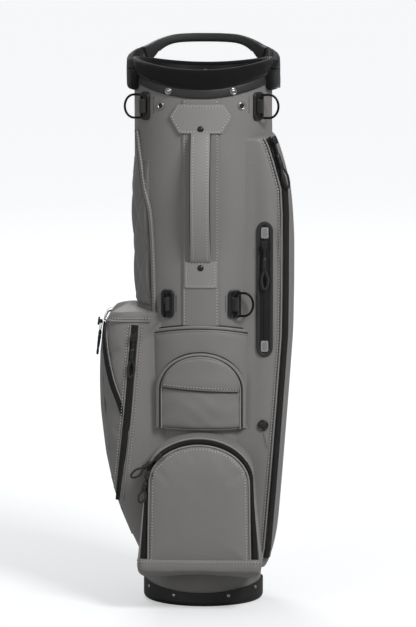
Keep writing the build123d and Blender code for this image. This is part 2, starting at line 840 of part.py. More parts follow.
def main():
    save("base_cup", base_cup())
    save("base_rivets", base_rivets())
    save("body_shell", body_shell())
    save("frame_stays", frame_stays())
    save("collar_ring", collar_ring())
    save("collar_padding", collar_padding())
    save("collar_trim", collar_trim())
    save("top_divider", top_divider())
    save("divider_panels", divider_panels())
    core, grip, pads, wrap = lift_handle()
    save("lift_handle_core", core)
    save("lift_handle_grip", grip)
    save("shoulder_pads", pads)
    save("lift_handle_wrap", wrap)
    save("spine_strip", spine_strip())
    save("handle_patches", handle_patches())
    save("grab_handle", grab_handle())
    save("handle_rivets", handle_rivets())
    save("hood_snaps", hood_snaps())
    save("quilted_panel", quilted_panel())
    save("cooler_pocket", cooler_pocket())
    save("apparel_pocket", apparel_pocket())
    save("side_zip_bezel", side_zip_bezel())
    save("zip_tapes", [side_zip_tape(), cooler_zip_tape(), apparel_zip_tape()])
    save("zip_garages", zip_garages())
    save("badge", badge())
    save("front_panel", front_panel())
    save("valuables_pocket", valuables_pocket())
    save("valuables_yoke", valuables_yoke())
    save("valuables_flap", valuables_flap())
    save("ball_pocket", ball_pocket())
    save("ball_pocket_panel", ball_pocket_panel())
    save("ball_pocket_zip", ball_pocket_zip())
    save("ball_pocket_hem", ball_pocket_hem())
    save("ring_bezels", ring_bezels())
    save("ring_tabs", ring_tabs())
    save("ring_upper_left", strap_ring(upper_loop, -1, -90))
    save("ring_upper_right", strap_ring(upper_loop, 1, 90))
    save("ring_lower_left", strap_ring(lower_loop, -1, 0))
    save("ring_lower_right", strap_ring(lower_loop, 1, 90))
    save("side_zip_slider", side_zip_place() * slider())
    save("side_zip_pull", side_zip_place() * to_bar * zip_pull(70))
    save("cooler_zip_slider", cooler_zip_place() * slider())
    save("cooler_zip_pull", cooler_zip_place() * to_bar * zip_pull(64))
    save("apparel_zip_slider", apparel_zip_place() * slider())
    save("apparel_zip_pull", apparel_zip_place() * to_bar * zip_pull(76))
    ball_places = [ball_zip_place(spot, down) for spot, down, length in ball_pulls]
    save("fixed_zip_sliders", [cooler_side_place() * slider()] + [place * slider() for place in ball_places])
    save("cooler_side_pull", cooler_side_place() * to_bar * zip_pull(52))
    for name, place, pull in zip(("a", "b"), ball_places, ball_pulls):
        save(f"ball_zip_pull_{name}", place * to_bar * zip_pull(pull[2]))
    save("stand_bracket", stand_bracket())
    save("stand_pins", stand_pins() + [pedal_pin()])
    for name, side in (("left", -1), ("right", 1)):
        save(f"leg_{name}", leg_tube(side))
        save(f"leg_foot_{name}", leg_foot(side))
        save(f"leg_link_{name}", leg_link(side))
    save("push_rod", push_rod())
    save("rod_guides", rod_guides())
    save("stand_pedal", pedal())
    print_joints()


main()
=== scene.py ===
import json
import math

import bmesh
import bpy
from mathutils import Matrix, Vector
from mathutils.bvhtree import BVHTree


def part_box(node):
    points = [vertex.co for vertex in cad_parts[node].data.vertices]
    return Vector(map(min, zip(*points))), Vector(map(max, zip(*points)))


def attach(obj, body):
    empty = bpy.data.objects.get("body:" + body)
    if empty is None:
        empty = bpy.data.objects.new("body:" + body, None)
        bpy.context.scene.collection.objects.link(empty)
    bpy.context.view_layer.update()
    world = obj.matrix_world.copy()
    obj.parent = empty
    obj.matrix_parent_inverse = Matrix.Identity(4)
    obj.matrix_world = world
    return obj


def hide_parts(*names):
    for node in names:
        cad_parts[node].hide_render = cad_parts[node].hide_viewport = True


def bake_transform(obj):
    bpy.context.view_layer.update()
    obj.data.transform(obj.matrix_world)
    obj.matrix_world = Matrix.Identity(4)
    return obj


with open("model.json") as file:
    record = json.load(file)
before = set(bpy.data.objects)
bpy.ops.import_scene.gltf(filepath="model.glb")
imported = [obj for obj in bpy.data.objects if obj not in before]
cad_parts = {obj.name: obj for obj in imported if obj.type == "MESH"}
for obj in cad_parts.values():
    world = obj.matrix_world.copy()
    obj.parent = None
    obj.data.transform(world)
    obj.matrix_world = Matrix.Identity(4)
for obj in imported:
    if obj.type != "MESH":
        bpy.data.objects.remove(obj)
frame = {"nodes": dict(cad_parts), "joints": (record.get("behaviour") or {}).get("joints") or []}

# A golf stand bag, dressed over its CAD frame. The carrying side faces -Y.
# Sizes in the dictionaries are millimetres unless a note says otherwise.

for spare in ("Cube", "Camera", "Light"):      # what a new Blender file starts with
    if spare in bpy.data.objects:
        bpy.data.objects.remove(bpy.data.objects[spare])

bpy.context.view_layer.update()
scene = bpy.context.scene
hinges = {joint["name"]: joint for joint in frame["joints"]}
mm = 0.001
up = Vector((0, 0, 1))
facing = Vector((0, -1, 0))      # out of the front of the bag
inward = Vector((0, 1, 0))


def stage(text):
    print("stage:", text)


# ---- shader maths ----

class Wire:
    # one output socket; sums of wires and numbers add Math nodes
    def __init__(self, tree, socket):
        self.tree = tree
        self.socket = socket

    def maths(self, operation, first, second=0.0):
        made = self.tree.nodes.new("ShaderNodeMath")
        made.operation = operation
        for slot, value in zip(made.inputs, (first, second)):
            if isinstance(value, Wire):
                self.tree.links.new(value.socket, slot)
            else:
                slot.default_value = value
        return Wire(self.tree, made.outputs[0])

    def __add__(self, other):
        return self.maths("ADD", self, other)

    def __radd__(self, other):
        return self.maths("ADD", other, self)

    def __sub__(self, other):
        return self.maths("SUBTRACT", self, other)

    def __rsub__(self, other):
        return self.maths("SUBTRACT", other, self)

    def __mul__(self, other):
        return self.maths("MULTIPLY", self, other)

    def __rmul__(self, other):
        return self.maths("MULTIPLY", other, self)

    def __truediv__(self, other):
        return self.maths("DIVIDE", self, other)

    def over(self, limit):
        return self.maths("GREATER_THAN", self, limit)

    def wave(self):
        return self.maths("SINE", self)

    def size(self):
        return self.maths("ABSOLUTE", self)


class Finish:
    # a material on a Principled shader; fixed values go straight on its sockets
    def __init__(self, name, **fixed):
        self.material = bpy.data.materials.new(name)
        self.material.use_nodes = True
        self.tree = self.material.node_tree
        self.shader = self.tree.nodes["Principled BSDF"]
        for socket, value in fixed.items():
            self.shader.inputs[socket.replace("_", " ")].default_value = value
        self.place = self.node("ShaderNodeTexCoord", out="Object")

    def node(self, kind, settings=None, inputs=None, out=0):
        made = self.tree.nodes.new(kind)
        for name, value in (settings or {}).items():
            if name == "stops":
                while len(made.color_ramp.elements) < len(value):
                    made.color_ramp.elements.new(1.0)
                for element, (spot, tone) in zip(made.color_ramp.elements, value):
                    element.position = spot
                    element.color = tone
            else:
                setattr(made, name, value)
        for name, value in (inputs or {}).items():
            if isinstance(value, Wire):
                self.tree.links.new(value.socket, made.inputs[name])
            else:
                made.inputs[name].default_value = value
        return Wire(self.tree, made.outputs[out])

    def noise(self, scale, detail=3.0, rough=0.55, warp=0.0, place=None):
        inputs = {"Vector": place or self.place, "Scale": scale, "Detail": detail}
        inputs.update({"Roughness": rough, "Distortion": warp})
        return self.node("ShaderNodeTexNoise", None, inputs)

    def cells(self, scale, feature="F1", place=None):
        inputs = {"Vector": place or self.place, "Scale": scale}
        return self.node("ShaderNodeTexVoronoi", {"feature": feature}, inputs)

    def stretched(self, x, y, z):
        return self.node("ShaderNodeMapping", None, {"Vector": self.place, "Scale": (x, y, z)})

    def attribute(self, name):
        return self.node("ShaderNodeAttribute", {"attribute_name": name}, out="Fac")

    def tones(self, factor, low, high):
        # a colour between two tones
        settings = {"data_type": "RGBA", "clamp_factor": True}
        return self.node("ShaderNodeMix", settings, {0: factor, 6: (*low, 1), 7: (*high, 1)}, out=2)

    def layered(self, factor, first, second):
        settings = {"data_type": "RGBA", "clamp_factor": True}
        return self.node("ShaderNodeMix", settings, {0: factor, 6: first, 7: second}, out=2)

    def wire(self, value, socket):
        self.tree.links.new(value.socket, self.shader.inputs[socket])

    def bump(self, height, strength, distance):
        inputs = {"Height": height, "Strength": strength, "Distance": distance}
        self.wire(self.node("ShaderNodeBump", None, inputs), "Normal")
        return self.material


def grey(level, warm=0.0):
    # a neutral tone from an sRGB level of 0 to 255, a little warm or cool
    linear = ((level / 255 + 0.055) / 1.055) ** 2.4
    return (linear * (1 + warm), linear, linear * (1 - warm))


def leather(name, level, warm=0.02, grain=1150.0, rough=0.5, wear=0.12):
    made = Finish(name, Specular_IOR_Level=0.42, Sheen_Weight=0.08, Sheen_Roughness=0.5)
    cloudy = made.noise(7.0, 4.0)
    fine = made.noise(260.0, 3.0)
    pebbles = made.cells(grain)
    pores = made.noise(grain * 2.2, 2.0)
    mix = cloudy * 0.5 + fine * 0.3 + pebbles * 0.25 - 0.05
    colour = made.tones(mix, grey(level * 0.93, warm), grey(level * 1.08, warm))
    scuffs = made.noise(38.0, 6.0, 0.72, 0.6)
    scuffs = (scuffs - 0.6) * 5 * wear
    made.wire(made.layered(scuffs, colour, (*grey(min(255, level * 1.3), warm), 1)), "Base Color")
    made.wire(rough - 0.08 + cloudy * 0.12 + pebbles * 0.08, "Roughness")
    soft = made.noise(34.0, 2.0)
    return made.bump(pebbles * -0.55 + pores * 0.3 + soft * 0.9, 0.32, 0.0006)


def velour(name, level):
    made = Finish(name, Sheen_Weight=0.22, Sheen_Roughness=0.4, Specular_IOR_Level=0.15)
    brushed = made.noise(22.0, 4.0, 0.6, 0.8)
    nap = made.noise(1500.0, 3.0, 0.7)
    made.wire(made.tones(brushed * 0.6 + nap * 0.5, grey(level * 0.8), grey(level * 1.25)), "Base Color")
    made.wire(0.86 + nap * 0.1, "Roughness")
    return made.bump(nap + brushed * 0.5, 0.6, 0.0007)


def plastic(name, level, rough=0.38, texture=900.0, coat=0.0):
    made = Finish(name, Specular_IOR_Level=0.5, Coat_Weight=coat, Coat_Roughness=0.12)
    mould = made.noise(texture, 2.0)
    haze = made.noise(24.0, 5.0, 0.6)
    made.wire(made.tones(haze, grey(level * 0.9), grey(level * 1.12)), "Base Color")
    made.wire(rough - 0.06 + haze * 0.12 + mould * 0.05, "Roughness")
    return made.bump(mould, 0.22, 0.0004)


def metal(name, level, rough=0.2, brush=(30.0, 30.0, 900.0), warm=0.0):
    made = Finish(name, Metallic=1.0)
    lines = made.noise(1.0, 3.0, 0.6, place=made.stretched(*brush))
    marks = made.noise(60.0, 5.0, 0.7)
    made.wire(made.tones(marks, grey(level * 0.9, warm), grey(min(255, level * 1.08), warm)), "Base Color")
    made.wire(rough + lines * 0.1 + marks * 0.08, "Roughness")
    return made.bump(lines, 0.12, 0.0003)


def zipTape(name, level):
    # woven tape with a moulded coil down its middle; both follow the strip
    made = Finish(name, Specular_IOR_Level=0.2, Sheen_Weight=0.03)
    along = made.attribute("along")
    across = made.attribute("across")
    warp = (across * 5200.0).wave()
    weft = (along * 4200.0).wave()
    weave = warp * weft
    coil = (along * (2 * math.pi / 0.0016) + across.size() * 900.0).wave()
    middle = 1 - (across.size() / 0.0021).over(1.0)
    cloudy = made.noise(45.0, 3.0)
    made.wire(made.tones(weave * 0.2 + cloudy * 0.6 + middle * 0.2, grey(level * 0.75), grey(level * 1.25)),
              "Base Color")
    made.wire(0.62 - middle * 0.22, "Roughness")
    return made.bump(weave * 0.25 * (1 - middle) + coil * middle, 0.7, 0.0005)


def braid(name, level):
    made = Finish(name, Specular_IOR_Level=0.35, Sheen_Weight=0.15)
    along = made.attribute("along")
    across = made.attribute("across")
    one = (along * 2600.0 + across * 1500.0).wave()
    two = (along * 2600.0 - across * 1500.0).wave()
    strands = one.maths("MAXIMUM", one, two)
    made.wire(made.tones(strands * 0.5 + 0.4, grey(level * 0.6), grey(level * 1.35)), "Base Color")
    made.wire(0.7 - strands * 0.1, "Roughness")
    return made.bump(strands, 0.7, 0.0005)


def thread(name, level):
    made = Finish(name, Specular_IOR_Level=0.35)
    twist = made.noise(2600.0, 1.0)
    made.wire(made.tones(twist, grey(level * 0.8, 0.02), grey(level * 1.2, 0.02)), "Base Color")
    made.wire(0.5 + twist * 0.2, "Roughness")
    return made.bump(twist, 0.5, 0.0003)


def webbing(name, level):
    made = Finish(name, Sheen_Weight=0.2, Specular_IOR_Level=0.3)
    ribs = made.node("ShaderNodeTexWave", {"wave_type": "BANDS", "bands_direction": "Z"},
                     {"Vector": made.place, "Scale": 260.0, "Distortion": 0.6, "Detail": 1.0})
    yarn = made.noise(1300.0, 3.0)
    made.wire(made.tones(ribs * 0.5 + yarn * 0.5, grey(level * 0.7), grey(level * 1.3)), "Base Color")
    made.wire(0.75 + yarn * 0.12, "Roughness")
    return made.bump(ribs + yarn * 0.4, 0.6, 0.0006)


finishes = {
    "leather": leather("grey_leatherette", 112, 0.035),
    "strapLeather": leather("strap_leatherette", 124, 0.035, rough=0.46),
    "quiltLeather": leather("quilted_leatherette", 104, 0.035),
    "piping": leather("piping_leatherette", 124, 0.03, grain=1700.0, rough=0.44),
    # dark binding leather; the same finish also colours the dark cords of painted shade beside seams and
    # under the flap
    "binding": leather("dark_binding", 34, 0.0, grain=1500.0, rough=0.5, wear=0.04),
    "velour": velour("collar_velour", 15),
    "dividerVelour": velour("divider_velour", 28),
    "lining": velour("well_lining", 34),
    "edgePaint": plastic("edge_paint", 26, 0.42, 2200.0),
    "blackPlastic": plastic("satin_black_plastic", 22, 0.36),
    "cupPlastic": plastic("base_plastic", 14, 0.5, 1400.0),
    "framePlastic": plastic("frame_plastic", 30, 0.5, 1100.0),
    "gloss": plastic("glossy_grip", 16, 0.22, 300.0, coat=0.6),
    "rubber": plastic("pull_rubber", 16, 0.42, 1700.0),
    "footRubber": plastic("foot_rubber", 32, 0.7, 1300.0),
    "tab": plastic("garage_tab", 112, 0.5, 1500.0),
    "zipTape": zipTape("zip_tape", 27),
    "braid": braid("cord_braid", 26),
    "thread": thread("grey_thread", 184),
    # dark thread; the same finish also colours the dots of painted shade in the needle holes
    "darkThread": thread("dark_thread", 44),
    "quiltThread": thread("quilt_thread", 158),
    "webbing": webbing("black_webbing", 34),
    "chrome": metal("bright_metal", 160, 0.2),
    "gunmetal": metal("dark_metal", 66, 0.26),
    "ringMetal": metal("ring_metal", 34, 0.3),
    "legTube": metal("anodised_tube", 150, 0.32, (500.0, 500.0, 6.0)),
    "steel": metal("rod_steel", 170, 0.24, (400.0, 400.0, 8.0)),
}


# ---- making meshes ----

def loftRings(bm, rings, start="point", end="point", along=None, across=None):
    # rings of equally many points; each ring is the last one extruded and moved
    count = len(rings[0])
    order = bm.verts.layers.int.get("order") or bm.verts.layers.int.new("order")
    alongLayer = bm.verts.layers.float.get("along") or bm.verts.layers.float.new("along")
    acrossLayer = bm.verts.layers.float.get("across") or bm.verts.layers.float.new("across")
    ring = bmesh.ops.create_circle(bm, segments=count, radius=1)["verts"]
    for number, vert in enumerate(ring):
        vert[order] = number
        vert.co = rings[0][number]
        vert[alongLayer] = along[0] if along else 0
        vert[acrossLayer] = across[number] if across else 0
    edges = [edge for vert in ring for edge in vert.link_edges
             if edge.other_vert(vert)[order] == (vert[order] + 1) % count]
    firstRing, firstEdges = ring, edges
    for row, points in enumerate(rings[1:], 1):
        grown = bmesh.ops.extrude_edge_only(bm, edges=edges)["geom"]
        ring = [item for item in grown if isinstance(item, bmesh.types.BMVert)]
        edges = [item for item in grown if isinstance(item, bmesh.types.BMEdge) and item.is_boundary]
        for vert in ring:
            vert.co = points[vert[order]]
            vert[alongLayer] = along[row] if along else 0
    if start == "loop":
        bmesh.ops.bridge_loops(bm, edges=firstEdges + edges)
        return
    for closing, verts, border in ((start, firstRing, firstEdges), (end, ring, edges)):
        if closing == "point":
            cap = bmesh.ops.extrude_edge_only(bm, edges=border)["geom"]
            tip = [item for item in cap if isinstance(item, bmesh.types.BMVert)]
            bmesh.ops.pointmerge(bm, verts=tip, merge_co=sum((v.co for v in tip), Vector()) / len(tip))


def sweep(bm, path, section, outward, loop=False):
    # a section of (across, out) points carried along a path; outward gives each point's face direction
    rings = []
    spots = [0.0]
    last = len(path) - 1
    for i, point in enumerate(path):
        ahead = path[(i + 1) % len(path)] if loop else path[min(i + 1, last)]
        behind = path[i - 1] if loop or i else path[0]
        run = (ahead - behind).normalized()
        out = outward[i] if isinstance(outward, list) else outward
        out = (out - run * out.dot(run)).normalized()
        side = run.cross(out)
        shape = section(i) if callable(section) else section
        rings.append([point + side * a + out * b for a, b in shape])
        if i:
            spots.append(spots[-1] + (point - path[i - 1]).length)
    shape = section(0) if callable(section) else section
    loftRings(bm, rings, "loop" if loop else "point", along=spots, across=[a for a, b in shape])


def disc(radius, count=10, flat=1.0):
    turn = 2 * math.pi / count
    return [(radius * math.cos(i * turn), radius * math.sin(i * turn) * flat) for i in range(count)]


def bar(width, low, high, soft, cuts=3):
    # a flat bar's section with rounded corners, from low to high, in metres
    corners = [(width / 2, low), (width / 2, high), (-width / 2, high), (-width / 2, low)]
    shape = []
    for number, (a, b) in enumerate(corners):
        centre = (a - math.copysign(soft, a), b + (soft if b == low else -soft))
        for step in range(cuts + 1):
            turn = math.radians(-90 + 90 * number + 90 * step / cuts)
            shape.append((centre[0] + soft * math.cos(turn), centre[1] + soft * math.sin(turn)))
    return shape


def newPiece(name, bm, finish, body="bag", replaced=(), sharp=40):
    bmesh.ops.remove_doubles(bm, verts=bm.verts, dist=2e-6)
    bmesh.ops.recalc_face_normals(bm, faces=bm.faces)
    mesh = bpy.data.meshes.new(name)
    bm.to_mesh(mesh)
    bm.free()
    mesh.shade_smooth()
    mesh.set_sharp_from_angle(angle=math.radians(sharp))
    mesh.materials.append(finishes[finish])
    piece = bpy.data.objects.new(name, mesh)
    scene.collection.objects.link(piece)
    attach(piece, body)
    if replaced:
        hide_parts(*replaced)
    return piece


def walk(points, pitch, loop=False):
    # even steps along a line of points, as (place, direction)
    line = list(points) + ([points[0]] if loop else [])
    found = []
    left = pitch / 2
    for start, end in zip(line, line[1:]):
        run = (end - start).length
        while left <= run and run > 0:
            found.append((start.lerp(end, left / run), (end - start) / run))
            left += pitch
        left -= run
    return found


def evenly(points, count, loop=True):
    # the same line with count points, equally far apart
    line = list(points) + ([points[0]] if loop else [])
    total = sum((b - a).length for a, b in zip(line, line[1:]))
    steps = count if loop else count - 1
    found = [line[0].copy()]
    gone, target = 0.0, total / steps
    for start, end in zip(line, line[1:]):
        run = (end - start).length
        while run > 0 and gone + run >= target - 1e-9 and len(found) < count:
            found.append(start.lerp(end, (target - gone) / run))
            target += total / steps
        gone += run
    while len(found) < count:
        found.append(line[-1].copy())
    return found


def rounded(corners, cuts=8):
    # a flat outline in millimetres from corners of (x, z, radius), as 2-D points in metres
    shape = []
    spots = [Vector((x, z)) * mm for x, z, radius in corners]
    for i, (x, z, radius) in enumerate(corners):
        here = spots[i]
        back = (spots[i - 1] - here).normalized()
        ahead = (spots[(i + 1) % len(spots)] - here).normalized()
        half = back.angle(ahead) / 2
        if radius <= 0:
            shape.append(here)
            continue
        reach = radius * mm / math.tan(half)
        centre = here + (back + ahead).normalized() * (radius * mm / math.sin(half))
        first, final = here + back * reach - centre, here + ahead * reach - centre
        for step in range(cuts + 1):
            shape.append(centre + first.slerp(final, step / cuts).normalized() * radius * mm)
    return shape


def archOutline(lowHalf, springHalf, low, spring, top, cuts=40):
    # straight sides and an elliptical top, millimetres in, metres out
    shape = [Vector((lowHalf, low)) * mm]
    for step in range(cuts + 1):
        turn = math.pi * step / cuts
        shape.append(Vector((springHalf * math.cos(turn), spring + (top - spring) * math.sin(turn))) * mm)
    shape.append(Vector((-lowHalf, low)) * mm)
    return shape


def pad(bm, outline, place, profile, count=96, rows=9, crown=0.0, under=-1.2):
    # a closed pad: rim steps of (inset, lift) in millimetres, then rows to the middle, raised by crown
    shape = evenly(outline, count)
    xs = [p.x for p in shape]
    zs = [p.y for p in shape]
    middle = Vector(((min(xs) + max(xs)) / 2, (min(zs) + max(zs)) / 2))
    halfX, halfZ = (max(xs) - min(xs)) / 2, (max(zs) - min(zs)) / 2

    def ring(inset, lift):
        scaleX, scaleZ = 1 - inset * mm / halfX, 1 - inset * mm / halfZ
        return [place(middle.x + (p.x - middle.x) * scaleX, middle.y + (p.y - middle.y) * scaleZ, lift * mm)
                for p in shape]

    rings = [ring(0, under)] + [ring(inset, lift) for inset, lift in profile]
    lastInset, lastLift = profile[-1]
    insideX, insideZ = 1 - lastInset * mm / halfX, 1 - lastInset * mm / halfZ
    for row in range(1, rows):
        scale = 1 - row / rows
        lift = (lastLift + crown * (1 - scale ** 2)) * mm
        rings.append([place(middle.x + (p.x - middle.x) * insideX * scale,
                            middle.y + (p.y - middle.y) * insideZ * scale, lift) for p in shape])
    loftRings(bm, rings)


def pipes(name, paths, radius, finish, body="bag"):
    # sewn piping: a round cord under leather along each path; in the dark binding finish the same cords are
    # painted shade beside seams and under the flap
    curve = bpy.data.curves.new(name, "CURVE")
    curve.dimensions = "3D"
    curve.bevel_depth = radius * mm
    curve.bevel_resolution = 2
    curve.use_fill_caps = True
    for path in paths:
        spline = curve.splines.new("POLY")
        spline.points.add(len(path) - 1)
        for point, spot in zip(spline.points, path):
            point.co = (*spot, 1)
    holder = bpy.data.objects.new(name, curve)
    scene.collection.objects.link(holder)
    mesh = bpy.data.meshes.new_from_object(holder.evaluated_get(bpy.context.evaluated_depsgraph_get()))
    bpy.data.objects.remove(holder)
    bpy.data.curves.remove(curve)
    bm = bmesh.new()
    bm.from_mesh(mesh)
    bpy.data.meshes.remove(mesh)
    return newPiece(name, bm, finish, body, sharp=60)


# sizes of each stitch, and of the dark dot of painted shade in each needle hole, in millimetres
stitching = {
    "pitch": 4.8, "length": 2.9, "width": 1.2, "height": 1.0, "batch": 60,
    "shadeDotLength": 0.95, "shadeDotWidth": 1.32, "shadeDotHeight": 0.45,
}
seams = {}          # thread colour and body -> stitches still to be made


def sew(path, outward, body="bag", colour="thread", loop=False, pitch=None):
    # a row of stitches along a line that already lies on the leather
    line = walk(path, (pitch or stitching["pitch"]) * mm, loop)
    for spot, run in line:
        out = outward(spot) if callable(outward) else outward
        seams.setdefault((colour, body), []).append((spot, run, out))


def stitchMesh(rows, size, shift):
    # small batches gathered at the end are much quicker than one long mesh
    gathered = bmesh.new()
    batch = stitching["batch"]
    for start in range(0, len(rows), batch):
        bm = bmesh.new()
        for spot, run, out in rows[start:start + batch]:
            side = run.cross(out).normalized()
            rise = side.cross(run).normalized()
            turn = Matrix((run, side, rise)).transposed().to_4x4()
            matrix = Matrix.Translation(spot + run * shift) @ turn @ Matrix.Diagonal((*size, 1))
            bmesh.ops.create_icosphere(bm, subdivisions=1, radius=1, matrix=matrix)
        mesh = bpy.data.meshes.new("batch")
        bm.to_mesh(mesh)
        bm.free()
        gathered.from_mesh(mesh)
        bpy.data.meshes.remove(mesh)
    return gathered


def makeSeams():
    # every stitch, and after each stitch in the pale thread a dark dot painted as the shade in its needle
    # hole
    half = mm / 2
    stitch = [stitching[key] * half for key in ("length", "width", "height")]
    shadeDotSize = [stitching[key] * half for key in ("shadeDotLength", "shadeDotWidth", "shadeDotHeight")]
    for (colour, body), rows in sorted(seams.items(), key=lambda item: item[0]):
        newPiece(f"stitches_{colour}_{body}", stitchMesh(rows, stitch, 0), colour, body, sharp=180)
        if colour == "thread":
            # dark dots of painted shade where the needle goes in, half a pitch on from each stitch
            shadeDots = stitchMesh(rows, shadeDotSize, stitching["pitch"] * half)
            newPiece(f"stitch_holes_{colour}_{body}", shadeDots, "darkThread", body, sharp=180)


# ---- the body's own surface ----

bodySizes = {
    "stations": [(3.3, 91.7, 82.7), (36, 91.7, 82.7), (450, 103, 91), (640, 109, 94), (861, 108, 94)],
    "trimBottom": 802, "trimTop": 816, "trimRise": 23, "rim": 847, "rimRise": 14, "chest": 109,
    "wall": 2.0, "around": 128,
}


def bodyHalf(z):
    # half width and half depth at a height, in metres
    stations = bodySizes["stations"]
    height = z / mm
    for low, high in zip(stations, stations[1:]):
        if height <= high[0] or high is stations[-1]:
            part = (height - low[0]) / (high[0] - low[0])
            smooth = part * 0.6 + part * part * (3 - 2 * part) * 0.4
            return [(low[k] + (high[k] - low[k]) * smooth) * mm for k in (1, 2)]


def bodyAt(turn, z, lift=0.0):
    # turn in radians from +X towards +Y, lift in metres
    wide, deep = bodyHalf(z)
    out = Vector((math.cos(turn) / wide, math.sin(turn) / deep, 0)).normalized()
    return Vector((wide * math.cos(turn), deep * math.sin(turn), z)) + out * lift


def front(x, z, lift=0.0):
    # on the front of the body above a place in the XZ plane
    wide, deep = [half + lift for half in bodyHalf(z)]
    share = max(-0.999, min(0.999, x / wide))
    return Vector((x, -deep * math.sqrt(1 - share * share), z))


def outOf(spot):
    wide, deep = bodyHalf(spot.z)
    return Vector((spot.x / wide ** 2, spot.y / deep ** 2, 0)).normalized()


def dip(x, middle, rise):
    # the rim's line, lower in front and behind than at the sides
    return (middle + rise * (x / (bodySizes["chest"] * mm)) ** 2) * mm


def curveThrough(points, count):
    # a smooth line through a few points in millimetres
    line = [Vector(p) * mm for p in points]
    found = []
    spans = len(line) - 1
    for step in range(count):
        share = step / (count - 1) * spans
        i = min(int(share), spans - 1)
        t = share - i
        a, b = line[max(i - 1, 0)], line[i]
        c, d = line[i + 1], line[min(i + 2, spans)]
        found.append(0.5 * (2 * b + (c - a) * t + (2 * a - 5 * b + 4 * c - d) * t * t
                            + (3 * b - a - 3 * c + d) * t ** 3))
    return found


# ---- body, seams and mouth ----

def makeBody():
    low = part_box("body_shell")[0].z
    around = bodySizes["around"]
    turns = [2 * math.pi * i / around for i in range(around)]
    rows = 70
    rings = []
    for row in range(rows + 1):
        share = row / rows
        ring = []
        for turn in turns:
            x = math.cos(turn) * bodyHalf(0.8)[0]
            top = dip(x, bodySizes["trimBottom"] + 4, bodySizes["trimRise"])
            z = low + (top - low) * share
            # the leather stands a little off its battens between the seams
            soft = 0.5 * math.sin(3 * turn + z * 21) + 0.4 * math.sin(5 * turn - z * 33)
            fade = min(1, share * 12, (1 - share) * 12)
            ring.append(bodyAt(turn, z, (soft - 0.9) * 0.45 * fade * mm))
        rings.append(ring)
    inner = []
    for row in (rows, rows * 3 // 4, rows // 2, rows // 4, 0):
        inner.append([p - outOf(p) * bodySizes["wall"] * mm for p in rings[row]])
    bm = bmesh.new()
    loftRings(bm, rings + inner, "loop")
    newPiece("body_panels", bm, "leather", replaced=["body_shell"], sharp=50)


seamSizes = {
    "right": [(104, 735), (101.7, 707), (92, 665), (82.8, 627), (77.5, 563), (73.3, 503), (73.6, 447)],
    "left": [(-104, 748), (-100, 718), (-92, 660), (-83, 624), (-79, 577), (-77, 516), (-75.5, 455)],
    "fold": 6.5, "lift": 1.8, "stitchIn": 2.6,
}


def makeBodySeams():
    # the front panel laps over the side panels in a folded, stitched edge
    bm = bmesh.new()
    cords = []
    for name, sign, raised in (("right", 1, 0), ("left", -1, 2.2 * mm)):
        # the left seam laps over the edge of the quilting
        flat = curveThrough(seamSizes[name], 60)
        flat = [p for p in flat if abs(p.x) < bodyHalf(p.y)[0] - 0.002]
        fold = seamSizes["fold"] * mm
        path = [front(p.x - sign * fold / 2, p.y, 0) for p in flat]
        lift = seamSizes["lift"] * mm + raised
        section = bar(fold, -0.4 * mm, lift, 0.5 * mm)
        sweep(bm, path, section, [outOf(p) for p in path])
        stitch = [front(p.x - sign * seamSizes["stitchIn"] * mm, p.y, lift) for p in flat]
        sew(stitch, outOf)
        # a dark cord painted as the shade at the foot of the fold's edge
        cords.append([front(p.x + sign * 1.3 * mm, p.y, 0.4 * mm + raised) for p in flat])
    newPiece("body_seams", bm, "leather")
    pipes("body_piping", cords, 1.35, "binding")


collarSizes = {"outer": 4.6, "inner": -6.0, "around": 96, "roll": 5.6}


def collarSection(x, low, high, lift, inner, roll):
    # a rolled pad between two heights, as (lift, z) in metres, with a soft top
    shape = [(inner, low), (lift - roll * 0.4, low), (lift, low + roll * 0.35)]
    for share in (0.3, 0.5, 0.7):
        swell = 0.8 * mm * math.sin(math.pi * share)
        shape.append((lift + swell * 0.6, low + (high - low) * share))
    steps = 7
    middle = (lift + inner) / 2
    half = (lift - inner) / 2
    for step in range(steps + 1):
        turn = math.pi * step / steps
        shape.append((middle + half * math.cos(turn), high - roll + roll * math.sin(turn)))
    shape.append((inner, (low + high) / 2))
    return shape


def makeCollar():
    around = collarSizes["around"]
    rings = []
    for i in range(around):
        turn = 2 * math.pi * i / around
        x = math.cos(turn) * (bodySizes["chest"] * mm)
        bottom = dip(x, bodySizes["trimTop"] + 0.6, bodySizes["trimRise"])
        top = dip(x, bodySizes["rim"], bodySizes["rimRise"])
        ripple = 0.35 * mm * math.sin(9 * turn) + 0.25 * mm * math.sin(23 * turn + 1)
        shape = collarSection(x, bottom, top, collarSizes["outer"] * mm + ripple,
                              collarSizes["inner"] * mm, collarSizes["roll"] * mm)
        rings.append([bodyAt(turn, z, lift) for lift, z in shape])
    bm = bmesh.new()
    loftRings(bm, rings, "loop")
    newPiece("collar_roll", bm, "velour", replaced=["collar_padding"], sharp=70)


